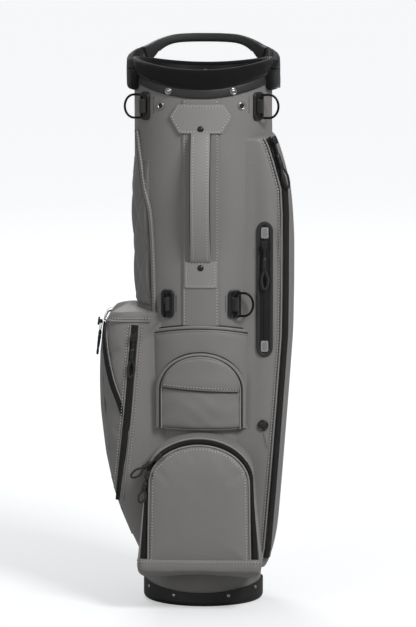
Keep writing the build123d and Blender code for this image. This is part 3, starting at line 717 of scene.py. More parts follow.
def makeTrim():
    around = collarSizes["around"]
    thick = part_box("collar_trim")[1].y - bodyHalf(0.81)[1]
    rings = []
    topSeam, lowSeam = [], []
    for i in range(around):
        turn = 2 * math.pi * i / around
        x = math.cos(turn) * (bodySizes["chest"] * mm)
        bottom = dip(x, bodySizes["trimBottom"], bodySizes["trimRise"])
        top = dip(x, bodySizes["trimTop"], bodySizes["trimRise"])
        tall = top - bottom
        shape = [(0.2 * mm, bottom), (thick * 0.6, bottom), (thick * 0.9, bottom + tall * 0.08),
                 (thick * 0.92, bottom + tall * 0.3), (thick, bottom + tall * 0.5),
                 (thick * 0.92, bottom + tall * 0.7), (thick * 0.9, bottom + tall * 0.92),
                 (thick * 0.6, top), (0.2 * mm, top)]
        rings.append([bodyAt(turn, z, lift) for lift, z in shape])
        topSeam.append(bodyAt(turn, bottom + tall * 0.8, thick * 0.93))
        lowSeam.append(bodyAt(turn, bottom + tall * 0.2, thick * 0.93))
    bm = bmesh.new()
    loftRings(bm, rings, "loop")
    newPiece("collar_binding", bm, "binding", replaced=["collar_trim"], sharp=60)
    sew(topSeam, outOf, colour="darkThread", loop=True)
    sew(lowSeam, outOf, colour="darkThread", loop=True)


dividerSizes = {"row": 28.0, "bar": 6.4, "low": 802.0, "top": 836.5, "ring": 11.8, "ringWall": 2.4}


def makeDivider():
    # velour-covered bars across the mouth, and a padded ring round its inside
    low, top = dividerSizes["low"] * mm, dividerSizes["top"] * mm
    inner = dividerSizes["ring"] * mm
    row = dividerSizes["row"] * mm
    wide, deep = [half - inner for half in bodyHalf(0.82)]
    tall = top - low
    section = bar(dividerSizes["bar"] * mm, -tall / 2, tall / 2, 3.0 * mm, 4)
    middle = (low + top) / 2
    runs = []
    for y in (-row, row):
        reach = wide * math.sqrt(1 - (y / deep) ** 2)
        runs.append((Vector((-reach, y, middle)), Vector((reach, y, middle))))
        far = math.copysign(deep, y)
        runs.append((Vector((0, y, middle)), Vector((0, far, middle))))
    bm = bmesh.new()
    for start, end in runs:
        path = [start.lerp(end, step / 24) for step in range(25)]
        sweep(bm, path, section, up)
    rings = []
    wall = dividerSizes["ringWall"] * mm
    shape = [(0, low), (-wall, low + mm), (-wall * 1.3, middle), (-wall, top - mm), (-wall / 2, top),
             (0, top - mm)]
    around = collarSizes["around"]
    for i in range(around):
        turn = 2 * math.pi * i / around
        rings.append([bodyAt(turn, z, lift - inner) for lift, z in shape])
    loftRings(bm, rings, "loop")
    newPiece("divider_padding", bm, "dividerVelour", replaced=["top_divider"], sharp=60)


# ---- lift handle and shoulders ----

liftSizes = {
    # half of the handle's middle line, as (x, z, half height), from the shoulder to the top
    "line": [(113, 812, 8.5), (113, 828, 9), (109, 843, 12), (100, 856, 14.5), (88, 865, 11.5),
             (77, 874, 8), (64, 880.5, 6.3), (48, 884.5, 6), (25, 885.8, 6), (0, 886, 6)],
    "wide": 116.8, "deep": 103.5, "thick": 11.0, "padStart": 95.0, "tube": 4.1,
    # outline of the padded shoulder, as (distance back round the side, height, corner)
    "shoulder": [(-44, 811, 8), (-52, 838, 12), (-18, 858, 16), (6, 864, 14), (50, 873, 8), (62, 850, 10),
                 (44, 812, 12)],
    "shoulderWide": 111.2, "shoulderDeep": 97.2, "shoulderTurn": 105.0,
    "shoulderRim": [(0, 0.4), (0, 3), (0.8, 5.6), (2.6, 7.6), (6, 8.8)], "tubeHalf": 79.0, "stitchIn": 2.4,
}


def liftPoint(x, z):
    # a place on the handle's oval, behind the middle of the bag
    share = max(-1, min(1, x / (liftSizes["wide"] * mm)))
    return Vector((x, liftSizes["deep"] * mm * math.sqrt(1 - share * share), z))


def liftOut(spot):
    return Vector((spot.x / liftSizes["wide"] ** 2, spot.y / liftSizes["deep"] ** 2, 0)).normalized()


def shoulderPoint(side, along, z, rise):
    # along runs back round the oval from the middle of the bag's side
    turn = along / (liftSizes["shoulderTurn"] * mm)
    wide, deep = liftSizes["shoulderWide"] * mm, liftSizes["shoulderDeep"] * mm
    out = Vector((math.cos(turn) / wide, math.sin(turn) / deep, 0)).normalized()
    spot = Vector((wide * math.cos(turn), deep * math.sin(turn), z)) + out * rise
    spot.x *= side
    return spot


def makeLiftHandle():
    half = curveThrough([(x, z, tall) for x, z, tall in liftSizes["line"]], 70)
    line = [Vector((p.x, p.y, p.z)) for p in half] + [Vector((-p.x, p.y, p.z)) for p in reversed(half[:-1])]
    edge = liftSizes["padStart"] * mm
    thick = liftSizes["thick"] * mm

    def part(keep, grow, soft):
        rows = [p for p in line if keep(p)]
        path = [liftPoint(p.x, p.y) for p in rows]
        sections = []
        for p in rows:
            sections.append(bar(2 * (p.z + grow), -thick / 2 - grow / 2, thick / 2 + grow / 2, soft, 4))
        return path, sections

    bm = bmesh.new()
    path, sections = part(lambda p: abs(p.x) < edge + 0.002, 0, 3.2 * mm)
    sweep(bm, path, lambda i: sections[i], [liftOut(p) for p in path])
    newPiece("lift_handle", bm, "binding", replaced=["lift_handle_core", "lift_handle_wrap"],
             sharp=70)
    bm = bmesh.new()
    outline = rounded(liftSizes["shoulder"], 8)
    for side in (-1, 1):
        path, sections = part(lambda p: p.x * side > edge - 0.001, 0.4 * mm, 3.6 * mm)
        sweep(bm, path, lambda i: sections[i], [liftOut(p) for p in path])
        pad(bm, outline, lambda along, z, rise: shoulderPoint(side, along, z, rise),
            liftSizes["shoulderRim"], 120, 8, 0.6, 0)
    newPiece("shoulder_velour", bm, "velour", replaced=["shoulder_pads"], sharp=70)

    # the moulded tube along the underside of the grip, where the fingers go
    tube = [p for p in line if abs(p.x) < liftSizes["tubeHalf"] * mm]
    radius = liftSizes["tube"] * mm
    path = [liftPoint(p.x * 0.97, p.y - p.z + radius * 0.5) for p in tube]
    bm = bmesh.new()
    sweep(bm, path, disc(radius, 14), [liftOut(p) for p in path])
    newPiece("lift_tube", bm, "gloss", replaced=["lift_handle_grip"], sharp=60)
    for sign in (1, -1):
        lift = sign * (thick / 2 + 0.1 * mm)
        row = [liftPoint(p.x, p.y + p.z - liftSizes["stitchIn"] * mm) + liftOut(liftPoint(p.x, p.y)) * lift
               for p in line if abs(p.x) < edge]
        sew(row, lambda spot: liftOut(spot) * sign, colour="darkThread")


# ---- grab handle and its patches ----

spineSizes = {"half": 28.5, "low": 447.5, "high": 801, "lift": 2.0, "stitchIn": 3.2}
patchSizes = {
    "six": [(-48.5, 774, 4), (-36, 793, 5), (36, 793, 5), (48.5, 774, 4), (33.5, 748, 4), (-33.5, 748, 4)],
    "low": [(-25.5, 507, 2), (-25.5, 549, 2), (25.5, 549, 2), (25.5, 507, 2)],
    "lift": 4.0, "stitchIn": 3.4,
}


def leatherEdge(low, high):
    # rim steps of a flat leather patch between two lifts
    return [(0, low), (0, high - 0.5), (0.25, high - 0.15), (0.8, high), (2.5, high)]


def insetLine(outline, inset):
    xs = [p.x for p in outline]
    zs = [p.y for p in outline]
    middle = Vector(((min(xs) + max(xs)) / 2, (min(zs) + max(zs)) / 2))
    halfX, halfZ = (max(xs) - min(xs)) / 2, (max(zs) - min(zs)) / 2
    return [Vector((middle.x + (p.x - middle.x) * (1 - inset * mm / halfX),
                    middle.y + (p.y - middle.y) * (1 - inset * mm / halfZ))) for p in outline]


def makeSpine():
    half, low, high = spineSizes["half"], spineSizes["low"], spineSizes["high"]
    outline = rounded([(-half, low, 1), (-half, high, 1), (half, high, 1), (half, low, 1)])
    bm = bmesh.new()
    lift = spineSizes["lift"]
    pad(bm, outline, front, leatherEdge(0.1, lift), 260, 5, under=-0.5)
    newPiece("spine_strip_leather", bm, "leather", replaced=["spine_strip"])
    for side in (-1, 1):
        x = side * (half - spineSizes["stitchIn"])
        line = [front(x * mm, (low + step) * mm, lift * mm) for step in range(2, int(high - low), 3)]
        sew(line, outOf)


def makePatches():
    bm = bmesh.new()
    base = spineSizes["lift"] + 0.2
    lift = patchSizes["lift"]
    for key in ("six", "low"):
        outline = rounded(patchSizes[key])
        pad(bm, outline, front, leatherEdge(base - 1.8, lift), 120, 6, under=base - 2)
        seam = evenly(insetLine(outline, patchSizes["stitchIn"]), 120)
        sew([front(p.x, p.y, lift * mm) for p in seam], outOf, loop=True)
    # the turned edge that the strap comes out of
    fold = [front(x * mm, 749.6 * mm, (lift + 0.1) * mm) for x in range(-31, 32, 2)]
    sweep(bm, fold, disc(1.7 * mm, 10, 0.7), [outOf(p) for p in fold])
    newPiece("handle_patch_leather", bm, "strapLeather", replaced=["handle_patches"])


strapSizes = {
    "top": 748, "bottom": 549, "width": 30, "thick": 3.6, "bow": 26, "edge": 1.15, "stitchIn": 4.2,
    "lift": 3.9,
}


def makeGrabStrap():
    top, bottom = [front(0, strapSizes[key] * mm, strapSizes["lift"] * mm) for key in ("top", "bottom")]
    rows = 60
    path = []
    for step in range(rows + 1):
        share = step / rows
        bow = math.sin(math.pi * share) ** 0.8
        path.append(top.lerp(bottom, share) + facing * strapSizes["bow"] * mm * bow)
    width, thick = strapSizes["width"] * mm, strapSizes["thick"] * mm

    def section(i):
        # a little wider where it goes into the lower patch
        return bar(width * (1 + 0.08 * (i / rows) ** 6), -thick / 2, thick / 2, 1.1 * mm, 3)

    bm = bmesh.new()
    sweep(bm, path, section, facing)
    newPiece("grab_strap", bm, "strapLeather", replaced=["grab_handle"], sharp=60)
    bm = bmesh.new()
    for side in (-1, 1):
        edge = [p + Vector((side * (width / 2 - 0.1 * mm), 0, 0)) for p in path]
        sweep(bm, edge, disc(strapSizes["edge"] * mm, 8, 1.35), facing)
        inside = side * (width / 2 - strapSizes["stitchIn"] * mm)
        sew([p + Vector((inside, -thick / 2, 0)) for p in path[1:-1]], facing)
    newPiece("grab_strap_edges", bm, "edgePaint", sharp=60)


# ---- rivets, snaps, eyelets and the plain disc ----

def turned(bm, profile, place, out, count=28):
    # a turned metal piece: (radius, height) steps in millimetres, out of a surface
    side = out.cross(up).normalized() if abs(out.z) < 0.9 else Vector((1, 0, 0))
    over = side.cross(out).normalized()
    rings = []
    for radius, height in profile:
        ring = []
        for i in range(count):
            turn = 2 * math.pi * i / count
            ring.append(place + (side * math.cos(turn) + over * math.sin(turn)) * max(radius, 0.02) * mm
                        + out * height * mm)
        rings.append(ring)
    loftRings(bm, rings)


turnedShapes = {
    "rivet": [(4.9, -0.6), (5.0, 0.2), (4.8, 0.55), (4.2, 0.6), (3.9, 0.9), (3.5, 1.6), (2.6, 2.15),
              (1.3, 2.4)],
    "snap": [(5.6, -0.5), (5.7, 0.5), (5.3, 1.0), (4.5, 1.15), (4.1, 0.7), (3.6, 0.7), (3.3, 1.3), (2.6, 1.9),
             (1.2, 2.15)],
    "eyelet": [(6.4, -0.3), (6.5, 0.4), (6.1, 1.1), (5.3, 1.55), (4.5, 1.4), (3.9, 0.8), (3.6, 0.2)],
    "eyeletHole": [(3.7, -0.2), (3.7, 0.3), (2.0, 0.35)],
    "baseRivet": [(2.9, -0.4), (3.0, 0.3), (2.6, 0.9), (1.7, 1.3), (0.7, 1.45)],
    "badgeRim": [(8.5, -0.2), (8.5, 1.2), (8.1, 1.9), (7.4, 2.2), (6.7, 1.9), (6.5, 1.2), (6.3, 0.9)],
    "badgeFace": [(6.6, 0.6), (6.5, 1.25), (5.8, 1.35), (4.9, 1.3), (4.6, 1.5), (3.0, 1.7), (1.4, 1.78)],
}


fastenerSpots = {
    # heights of the studs, then (distance from the middle, height, lift) and (distance, height) of the rest
    "studs": (755, 539), "snap": (50.5, 813, 3.2), "eyelet": (63, 790, 0.4), "cup": ((43, 17), (84, 24)),
}


def makeFasteners():
    bm = bmesh.new()
    for z in fastenerSpots["studs"]:
        spot = front(0, z * mm, patchSizes["lift"] * mm)
        turned(bm, turnedShapes["rivet"], spot, outOf(spot))
    newPiece("handle_studs", bm, "gunmetal", replaced=["handle_rivets"], sharp=50)
    bright, dark = bmesh.new(), bmesh.new()
    for side in (-1, 1):
        x, z, lift = fastenerSpots["snap"]
        spot = front(side * x * mm, z * mm, lift * mm)
        turned(bright, turnedShapes["snap"], spot, outOf(spot))
        x, z, lift = fastenerSpots["eyelet"]
        spot = front(side * x * mm, z * mm, lift * mm)
        turned(bright, turnedShapes["eyelet"], spot, outOf(spot))
        turned(dark, turnedShapes["eyeletHole"], spot, outOf(spot))
    newPiece("hood_fasteners", bright, "chrome", replaced=["hood_snaps"], sharp=50)
    newPiece("eyelet_holes", dark, "blackPlastic")
    bm = bmesh.new()
    wide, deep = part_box("base_cup")[1].x, -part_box("base_cup")[0].y
    for x, z in fastenerSpots["cup"]:
        for side in (-1, 1):
            share = x * mm / wide
            spot = Vector((side * x * mm, -deep * math.sqrt(1 - share * share), z * mm))
            out = Vector((spot.x / wide ** 2, spot.y / deep ** 2, 0)).normalized()
            turned(bm, turnedShapes["baseRivet"], spot + out * 0.3 * mm, out, 20)
    newPiece("cup_rivets", bm, "chrome", replaced=["base_rivets"], sharp=50)
    low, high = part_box("badge")
    spot = Vector(((low.x + high.x) / 2, high.y, (low.z + high.z) / 2))
    rim, face = bmesh.new(), bmesh.new()
    turned(rim, turnedShapes["badgeRim"], spot, facing, 40)
    turned(face, turnedShapes["badgeFace"], spot, facing, 40)
    newPiece("plain_disc_rim", rim, "gunmetal", replaced=["badge"])
    newPiece("plain_disc_face", face, "blackPlastic")


# ---- strap rings' patches ----

ringSizes = {
    "width": 22, "height": 44, "corner": 7, "thick": 3.0, "tabHeight": 21, "tabLift": 4.8, "stitchIn": 13.5,
    # the folded tab's section, as (across, out)
    "tab": [(-5.2, -4.4), (-2.6, -4.6), (2.6, -4.6), (5.2, -4.4), (4.4, -1.8), (3.3, 0.6), (2.6, 2.4),
            (1.3, 3.4), (-1.3, 3.4), (-2.6, 2.4), (-3.3, 0.6), (-4.4, -1.8)],
}
# where each patch sits, and from where to where the row of stitches beside it runs
ringSpots = [(-87.5, 788, 777, 806), (87.5, 788, 777, 806), (-52, 481, 468, 496), (52, 481, 468, 496)]


def ringFrame(x, z):
    # a flat place on the body: across and out
    middle = front(x * mm, z * mm, 0.4 * mm)
    out = outOf(middle)
    return middle, up.cross(out) * -1, out


def makeRingPatches():
    plates, chapes = bmesh.new(), bmesh.new()
    half, tall, corner = ringSizes["width"] / 2, ringSizes["height"] / 2, ringSizes["corner"]
    outline = rounded([(-half, -tall, corner), (-half, tall, corner),
                       (half, tall, corner), (half, -tall, corner)])
    thick = ringSizes["thick"]
    profile = [(0, 0.2), (0, thick - 1), (0.3, thick - 0.3), (1, thick), (2.6, thick), (3.0, thick - 0.3),
               (3.3, thick - 0.7)]
    high = ringSizes["tabHeight"] / 2
    levels = [(-high, 0.86), (-high + 0.4, 0.97), (-high + 1, 1)]
    levels += [(step * high / 4, 1) for step in range(-3, 4)]
    levels += [(high - 1, 1), (high - 0.4, 0.97), (high, 0.86)]
    for spotX, spotZ, seamLow, seamHigh in ringSpots:
        middle, side, out = ringFrame(spotX, spotZ)

        def place(x, z, lift):
            return middle + side * x + up * z + out * lift

        pad(plates, outline, place, profile, 72, 4, under=0)
        seam = evenly(insetLine(outline, 1.8), 72)
        sew([place(p.x, p.y, thick * mm) for p in seam], out, colour="darkThread", loop=True, pitch=3.4)
        # the webbing chape folded round the ring's bar
        centre = middle + out * (thick + ringSizes["tabLift"]) * mm
        rings = []
        for z, scale in levels:
            rings.append([centre + (side * a * scale + out * b * scale) * mm + up * z * mm
                          for a, b in ringSizes["tab"]])
        loftRings(chapes, rings)
        x = spotX - math.copysign(ringSizes["stitchIn"], spotX)
        beside = [front(x * mm, z * mm, 0.1 * mm) for z in range(seamLow, seamHigh, 2)]
        sew(beside, outOf, colour="darkThread", pitch=3.4)
    newPiece("ring_patches", plates, "blackPlastic", "bag", ["ring_bezels"], 50)
    newPiece("ring_chapes", chapes, "webbing", replaced=["ring_tabs"], sharp=50)


# ---- quilted side ----

quiltSizes = {
    "start": -82, "back": 50, "low": 474, "high": 704, "pitch": 93, "puff": 4.2, "edge": 0.6, "slope": 0.62,
    "rowGap": 1.6, "columns": 60, "rows": 110, "wall": 1.2,
}


def makeQuilt():
    # puffed diamonds between double rows of stitches
    low, high = quiltSizes["low"] * mm, quiltSizes["high"] * mm
    wide, deep = bodyHalf(0.6)
    startTurn = math.pi + math.acos(-quiltSizes["start"] * mm / wide)
    endTurn = math.pi - math.asin(quiltSizes["back"] * mm / deep)
    arc = (startTurn - endTurn) * (wide + deep) / 2 * 0.95
    pitch = quiltSizes["pitch"] * mm
    across = arc / (pitch * quiltSizes["slope"])
    tall = high - low
    bm = bmesh.new()
    columns, rows = quiltSizes["columns"], quiltSizes["rows"]
    made = bmesh.ops.create_grid(bm, x_segments=columns, y_segments=rows, size=0.5)

    def liftAt(u, v):
        a, b = u * across, v * tall / pitch
        fold = abs(math.sin(math.pi * (a + b))) * abs(math.sin(math.pi * (a - b)))
        # flat at the edges, and slowly so towards the top
        rim = min(1, u * 26, (1 - u) * 26, v * 40, (1 - v) * 5)
        rim = rim * rim * (3 - 2 * rim)
        return (quiltSizes["edge"] + quiltSizes["puff"] * fold ** 0.45) * max(rim, 0) * mm

    def quiltPoint(u, v):
        return bodyAt(startTurn + (endTurn - startTurn) * u, low + tall * v, liftAt(u, v))

    for vert in made["verts"]:
        vert.co = quiltPoint(vert.co.x + 0.5, vert.co.y + 0.5)
    piece = newPiece("quilted_side", bm, "quiltLeather", "bag", ["quilted_panel"], 80)
    solid = piece.modifiers.new("wall", "SOLIDIFY")
    solid.thickness = quiltSizes["wall"] * mm
    solid.offset = -1
    for sign in (1, -1):
        for k in range(-6, 12):
            row = []
            for step in range(401):
                u = step / 400
                v = (k - sign * u * across) * pitch / tall
                if 0.02 < v < 0.98 and 0.03 < u < 0.97:
                    row.append((u, v))
            for way in (-1, 1):
                shift = way * quiltSizes["rowGap"] * mm / tall
                line = [quiltPoint(u, min(0.985, max(0.015, v + shift))) for u, v in row]
                if len(line) > 4:
                    sew([p + outOf(p) * 0.1 * mm for p in line], outOf, colour="quiltThread")


# ---- stuffed pieces ----

def puff(piece, voxel=5.0, pressure=4.0, cap=6.0, held=None, levels=1):
    # blows the closed piece up as cloth, keeps each point within cap, and smooths it once
    mesh = piece.data
    helper = bpy.data.objects.new(piece.name + "_cloth", mesh.copy())
    scene.collection.objects.link(helper)
    remesh = helper.modifiers.new("voxels", "REMESH")
    remesh.mode = "VOXEL"
    remesh.voxel_size = voxel * mm
    view = bpy.context.evaluated_depsgraph_get()
    helper.data = bpy.data.meshes.new_from_object(helper.evaluated_get(view))
    helper.modifiers.clear()
    start = [v.co.copy() for v in helper.data.vertices]
    cloth = helper.modifiers.new("cloth", "CLOTH")
    cloth.settings.quality = 4
    cloth.settings.tension_stiffness = 18
    cloth.settings.bending_stiffness = 1.5
    cloth.settings.use_pressure = True
    cloth.settings.uniform_pressure_force = pressure
    cloth.settings.effector_weights.gravity = 0
    if held:
        group = helper.vertex_groups.new(name="held")
        group.add([i for i, p in enumerate(start) if held(p)], 1.0, "REPLACE")
        cloth.settings.vertex_group_mass = "held"
    for moment in range(1, 21):
        scene.frame_set(moment)
    view = bpy.context.evaluated_depsgraph_get()
    blown = bpy.data.meshes.new_from_object(helper.evaluated_get(view))
    for vert, home in zip(blown.vertices, start):
        move = vert.co - home
        if move.length > cap * mm:
            vert.co = home + move.normalized() * cap * mm
    scene.frame_set(1)
    bpy.data.objects.remove(helper)
    blown.materials.clear()
    for slot in mesh.materials:
        blown.materials.append(slot)
    blown.shade_smooth()
    piece.data = blown
    if levels:
        smooth = piece.modifiers.new("smooth", "SUBSURF")
        smooth.levels = smooth.render_levels = levels
    return piece


def skinOf(piece):
    view = bpy.context.evaluated_depsgraph_get()
    return BVHTree.FromObject(piece, view)


def laid(tree, points, aim, lift=0.2):
    # the same points laid on a piece's skin, looked for along aim
    found = []
    for p in points:
        hit = tree.ray_cast(p - aim * 0.05, aim, 0.12)
        found.append(hit[0] - aim * lift * mm if hit[0] else p)
    return found


# ---- side pockets ----

pocketSizes = {"root": 40, "corner": 28, "front": 74, "back": 68}
coolerSizes = {
    # how far the pocket reaches out at each height
    "levels": [(85, 101), (130, 123), (178, 141), (230, 150.5), (285, 156), (340, 159), (389, 160),
               (430, 157), (452, 153), (461, 150), (466, 144)],
    "lid": 452, "tape": 10.6, "sideTape": 8.0, "pipes": (-6.4, 7.2), "stitchIn": (3.6, 4.2),
    "zip": [(-104, 446), (-109, 385), (-116, 300), (-125, 215), (-131, 165), (-134, 140)],
    # the side zip as (height, turn round the corner), then flat on the front as (x, z)
    "sideZip": [(449, 74), (437, 67), (425, 59), (412, 51), (399, 43), (385, 35), (371, 28), (357, 21),
                (345, 13), (334, 5)],
    "sideZipEnd": [(-128.5, 322), (-125, 311), (-121, 300)],
    "outerSeam": [(446, 88), (400, 88), (350, 87), (300, 86), (250, 85), (200, 84), (150, 83), (110, 82)],
}
apparelSizes = {
    "levels": [(60, 104), (72, 109), (92, 113), (200, 122), (317, 131), (429, 139), (500, 140), (556, 140),
               (620, 140), (660, 138), (700, 127), (730, 117.5), (741, 111)],
    "zipTop": 740, "zipEnd": 74, "tape": 9.4, "zipTurn": 45, "pipeTurns": (28, 62), "stitchTurn": 20,
    "backTop": 726, "backIn": 16,
}


def reachAt(levels, z):
    # straight between the heights that are given
    for low, high in zip(levels, levels[1:]):
        if z <= high[0] or high is levels[-1]:
            part = max(0, min(1, (z - low[0]) / (high[0] - low[0])))
            return low[1] + (high[1] - low[1]) * part


def pocketRing(side, reach, z, grow=0.0):
    corner = pocketSizes["corner"]
    low, high = pocketSizes["root"], reach + grow
    near, far = -pocketSizes["front"] - grow, pocketSizes["back"] + grow
    soft = corner + grow
    outline = rounded([(low, near, 2), (high, near, soft), (high, far, soft), (low, far, 2)], 10)
    return [Vector((side * p.x, p.y, z * mm)) for p in evenly(outline, 120)]


def pocketMesh(sizes, side, shrink, rows=44):
    levels = sizes["levels"]
    low, high = levels[0][0], levels[-1][0]
    rings = []
    for row in range(rows + 1):
        z = low + (high - low) * row / rows
        rings.append(pocketRing(side, reachAt(levels, z), z, -shrink))
    # domed ends
    for step in range(1, 4):
        turn = step / 4 * math.pi / 2
        inset = 10 * (1 - math.cos(turn)) + shrink
        rings.insert(0, pocketRing(side, reachAt(levels, low), low - 2.5 * math.sin(turn), -inset))
        rings.append(pocketRing(side, reachAt(levels, high), high + 1.5 * math.sin(turn), -inset))
    bm = bmesh.new()
    loftRings(bm, rings)
    return bm


def cornerPoint(sizes, side, z, turn, lift=0.0):
    # on the rounded front corner: turn 0 faces -Y, 90 faces outwards
    corner = pocketSizes["corner"]
    reach = reachAt(sizes["levels"], z)
    angle = math.radians(turn)
    x = reach - corner + (corner + lift) * math.sin(angle)
    y = corner - pocketSizes["front"] - (corner + lift) * math.cos(angle)
    return Vector((side * x * mm, y * mm, z * mm))


def strip(name, path, outs, width, finish, lift=1.0, replaced=()):
    # a flat tape with a slight crown, laid along a path
    half = width * mm / 2
    rise = [(1, lift * 0.7), (0.7, lift), (0.22, lift), (0.12, lift * 1.25)]
    steps = [(1, -0.4)] + rise + [(0, lift * 1.3)] + [(-a, b) for a, b in reversed(rise)] + [(-1, -0.4)]
    bm = bmesh.new()
    sweep(bm, path, [(a * half, b * mm) for a, b in steps], outs)
    newPiece(name, bm, finish, "bag", replaced, sharp=60)


def lidOut(spot):
    return Vector((spot.x + 0.11, spot.y * 1.4, 0)).normalized()


def makeCooler():
    side = -1
    c = coolerSizes
    bm = pocketMesh(c, side, 2.2)
    piece = newPiece("cooler_pocket_skin", bm, "leather", "bag", ["cooler_pocket"], 70)
    puff(piece, 5, 5, 6, lambda p: p.x > -0.085)
    skin = skinOf(piece)
    # the lid's overhanging edge, all round the top
    lidRing = pocketRing(side, reachAt(c["levels"], c["lid"]), c["lid"], 0.6)
    lidRing = [p for p in lidRing if p.x < -0.078]
    lidRing.sort(key=lambda p: math.atan2(p.y, -(p.x + 0.09)))
    pipes("cooler_lid_piping", [lidRing], 1.5, "piping")
    sew([p + lidOut(p) * 0.4 * mm + up * 4.5 * mm for p in lidRing], lidOut)
    # the front zip, and the piping and stitches on both sides of it
    line = curveThrough(c["zip"], 60)
    inset = [reachAt(c["levels"], p.y / mm) - abs(p.x) / mm for p in line]
    path = laid(skin, [Vector((p.x, -0.075, p.y)) for p, room in zip(line, inset) if room > 4], inward, 0)
    strip("cooler_zip_tape", path, facing, c["tape"], "zipTape", 1.2)
    cords = []
    for shift in c["pipes"]:
        edge = [Vector((p.x + shift * mm, -0.075, p.y)) for p, room in zip(line, inset)
                if room > max(4, 6 - shift)]
        cords.append(laid(skin, edge, inward, 0.6))
    pipes("cooler_zip_piping", cords, 1.25, "piping")
    left, right = c["stitchIn"]
    sew([p + Vector((right, -0.1, 0)) * mm for p in cords[1]], facing)
    sew([p - Vector((left, 0.1, 0)) * mm for p in cords[0]], facing)
    # the curved zip on the outer corner, down to its stitched stop
    curved = [cornerPoint(c, side, z, turn, 0.4) for z, turn in c["sideZip"]]
    outs = []
    for z, degrees in c["sideZip"]:
        turn = math.radians(degrees)
        outs.append(Vector((-math.sin(turn), -math.cos(turn), 0)))
    for x, z in c["sideZipEnd"]:
        curved.append(Vector((x, -pocketSizes["front"] - 0.6, z)) * mm)
        outs.append(facing)
    strip("cooler_side_tape", curved, outs, c["sideTape"], "zipTape", 1.1)
    beside = [p + o * 0.7 * mm + Vector((5.4 * mm, 0, 0)) for p, o in zip(curved, outs)]
    pipes("cooler_side_piping", [beside], 1.1, "piping")
    # a piped seam down the outer side
    outer = [cornerPoint(c, side, z, turn, -0.2) - Vector((0.03, 0, 0)) for z, turn in c["outerSeam"]]
    pipes("cooler_outer_piping", [laid(skin, outer, Vector((1, 0, 0)), 0.4)], 1.1, "piping")


def makeApparel():
    side = 1
    a = apparelSizes
    bm = pocketMesh(a, side, 2.0, 60)
    piece = newPiece("apparel_pocket_skin", bm, "leather", "bag", ["apparel_pocket"], 70)
    puff(piece, 5.5, 4, 5, lambda p: p.x < 0.09)
    heights = range(a["zipTop"], a["zipEnd"], -8)
    path = [cornerPoint(a, side, z, a["zipTurn"], 0.6) for z in heights]
    strip("apparel_zip_tape", path, Vector((1, -1, 0)).normalized(), a["tape"], "zipTape", 1.3)
    cords = [[cornerPoint(a, side, z, turn, 0.5) for z in heights] for turn in a["pipeTurns"]]
    pipes("apparel_zip_piping", cords, 1.25, "piping")
    seam = [cornerPoint(a, side, z, a["stitchTurn"], 0.5) for z in heights]
    sew(seam, Vector((0.3, -0.95, 0)).normalized())
    # the back seam of the side panel
    y = (pocketSizes["back"] - a["backIn"]) * mm
    back = [Vector((0.16, y, z * mm)) for z in heights if z < a["backTop"]]
    pipes("apparel_back_piping", [laid(skinOf(piece), back, Vector((-1, 0, 0)), 0.4)], 1.2, "piping")


# ---- side zip in its moulded bezel ----

bezelSizes = {
    "x": 99, "low": 397, "high": 610, "width": 26, "rim": 5.5, "thick": 2.5, "stitchIn": 1.7,
    # the frame's section, as shares of its width and thickness
    "section": [(-0.5, -0.16), (-0.5, 0.5), (-0.4, 0.85), (-0.2, 1), (0.2, 1), (0.38, 0.75), (0.5, 0.25),
                (0.5, -0.16)],
    "tabs": [(8, 26), (186, 204)], "tabGap": 1.4, "tabCorner": 2.5, "tabStitch": 1.6,
}


def makeBezel():
    faceY = -pocketSizes["front"] * mm

    def place(x, z, lift):
        return Vector((x, faceY - lift, z))

    x, low, high = bezelSizes["x"], bezelSizes["low"], bezelSizes["high"]
    half, rim, thick = bezelSizes["width"] / 2, bezelSizes["rim"], bezelSizes["thick"]
    outline = rounded([(x - half, low, half - 0.1), (x + half, low, half - 0.1), (x + half, high, half - 0.1),
                       (x - half, high, half - 0.1)], 10)
    path = [place(p.x, p.y, 0) for p in evenly(insetLine(outline, rim / 2), 150)]
    bm = bmesh.new()
    section = [(a * rim * mm, b * thick * mm) for a, b in bezelSizes["section"]]
    sweep(bm, path, section, facing, loop=True)
    newPiece("side_zip_frame", bm, "binding", replaced=["side_zip_bezel"], sharp=50)
    seam = evenly(insetLine(outline, bezelSizes["stitchIn"]), 150)
    seam = [place(p.x, p.y, (thick + 0.1) * mm) for p in seam]
    sew(seam, facing, colour="darkThread", loop=True, pitch=3.6)
    path = [place(x * mm, z * mm, 0.2 * mm) for z in range(low + 4, high - 2, 3)]
    strip("side_zip_band", path, facing, bezelSizes["width"] - 2 * rim, "zipTape", 1.2,
          replaced=["zip_tapes"])
    # stitched garages at both ends of the zip
    bm = bmesh.new()
    wide = half - rim - bezelSizes["tabGap"]
    soft = bezelSizes["tabCorner"]
    for start, end in bezelSizes["tabs"]:
        tab = rounded([(x - wide, low + start, soft), (x + wide, low + start, soft),
                       (x + wide, low + end, soft), (x - wide, low + end, soft)])
        pad(bm, tab, place, [(0, 0.8), (0, 2.6), (0.4, 3.2), (1.2, 3.5)], 60, 5, 0.3, under=0.6)
        seam = evenly(insetLine(tab, bezelSizes["tabStitch"]), 60)
        sew([place(p.x, p.y, 3.6 * mm) for p in seam], facing, loop=True, pitch=3.2)
    newPiece("zip_garage_tabs", bm, "tab", replaced=["zip_garages"], sharp=60)
    # a short dotted line of dark thread under the disc
    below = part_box("badge")[0].z
    dots = [Vector((0.097 + 0.006 * math.sin(step / 8), faceY - 0.0002, below - 0.004 - step * 0.0022))
            for step in range(12)]
    sew(dots, facing, colour="darkThread", pitch=3.2)


# ---- front pockets ----

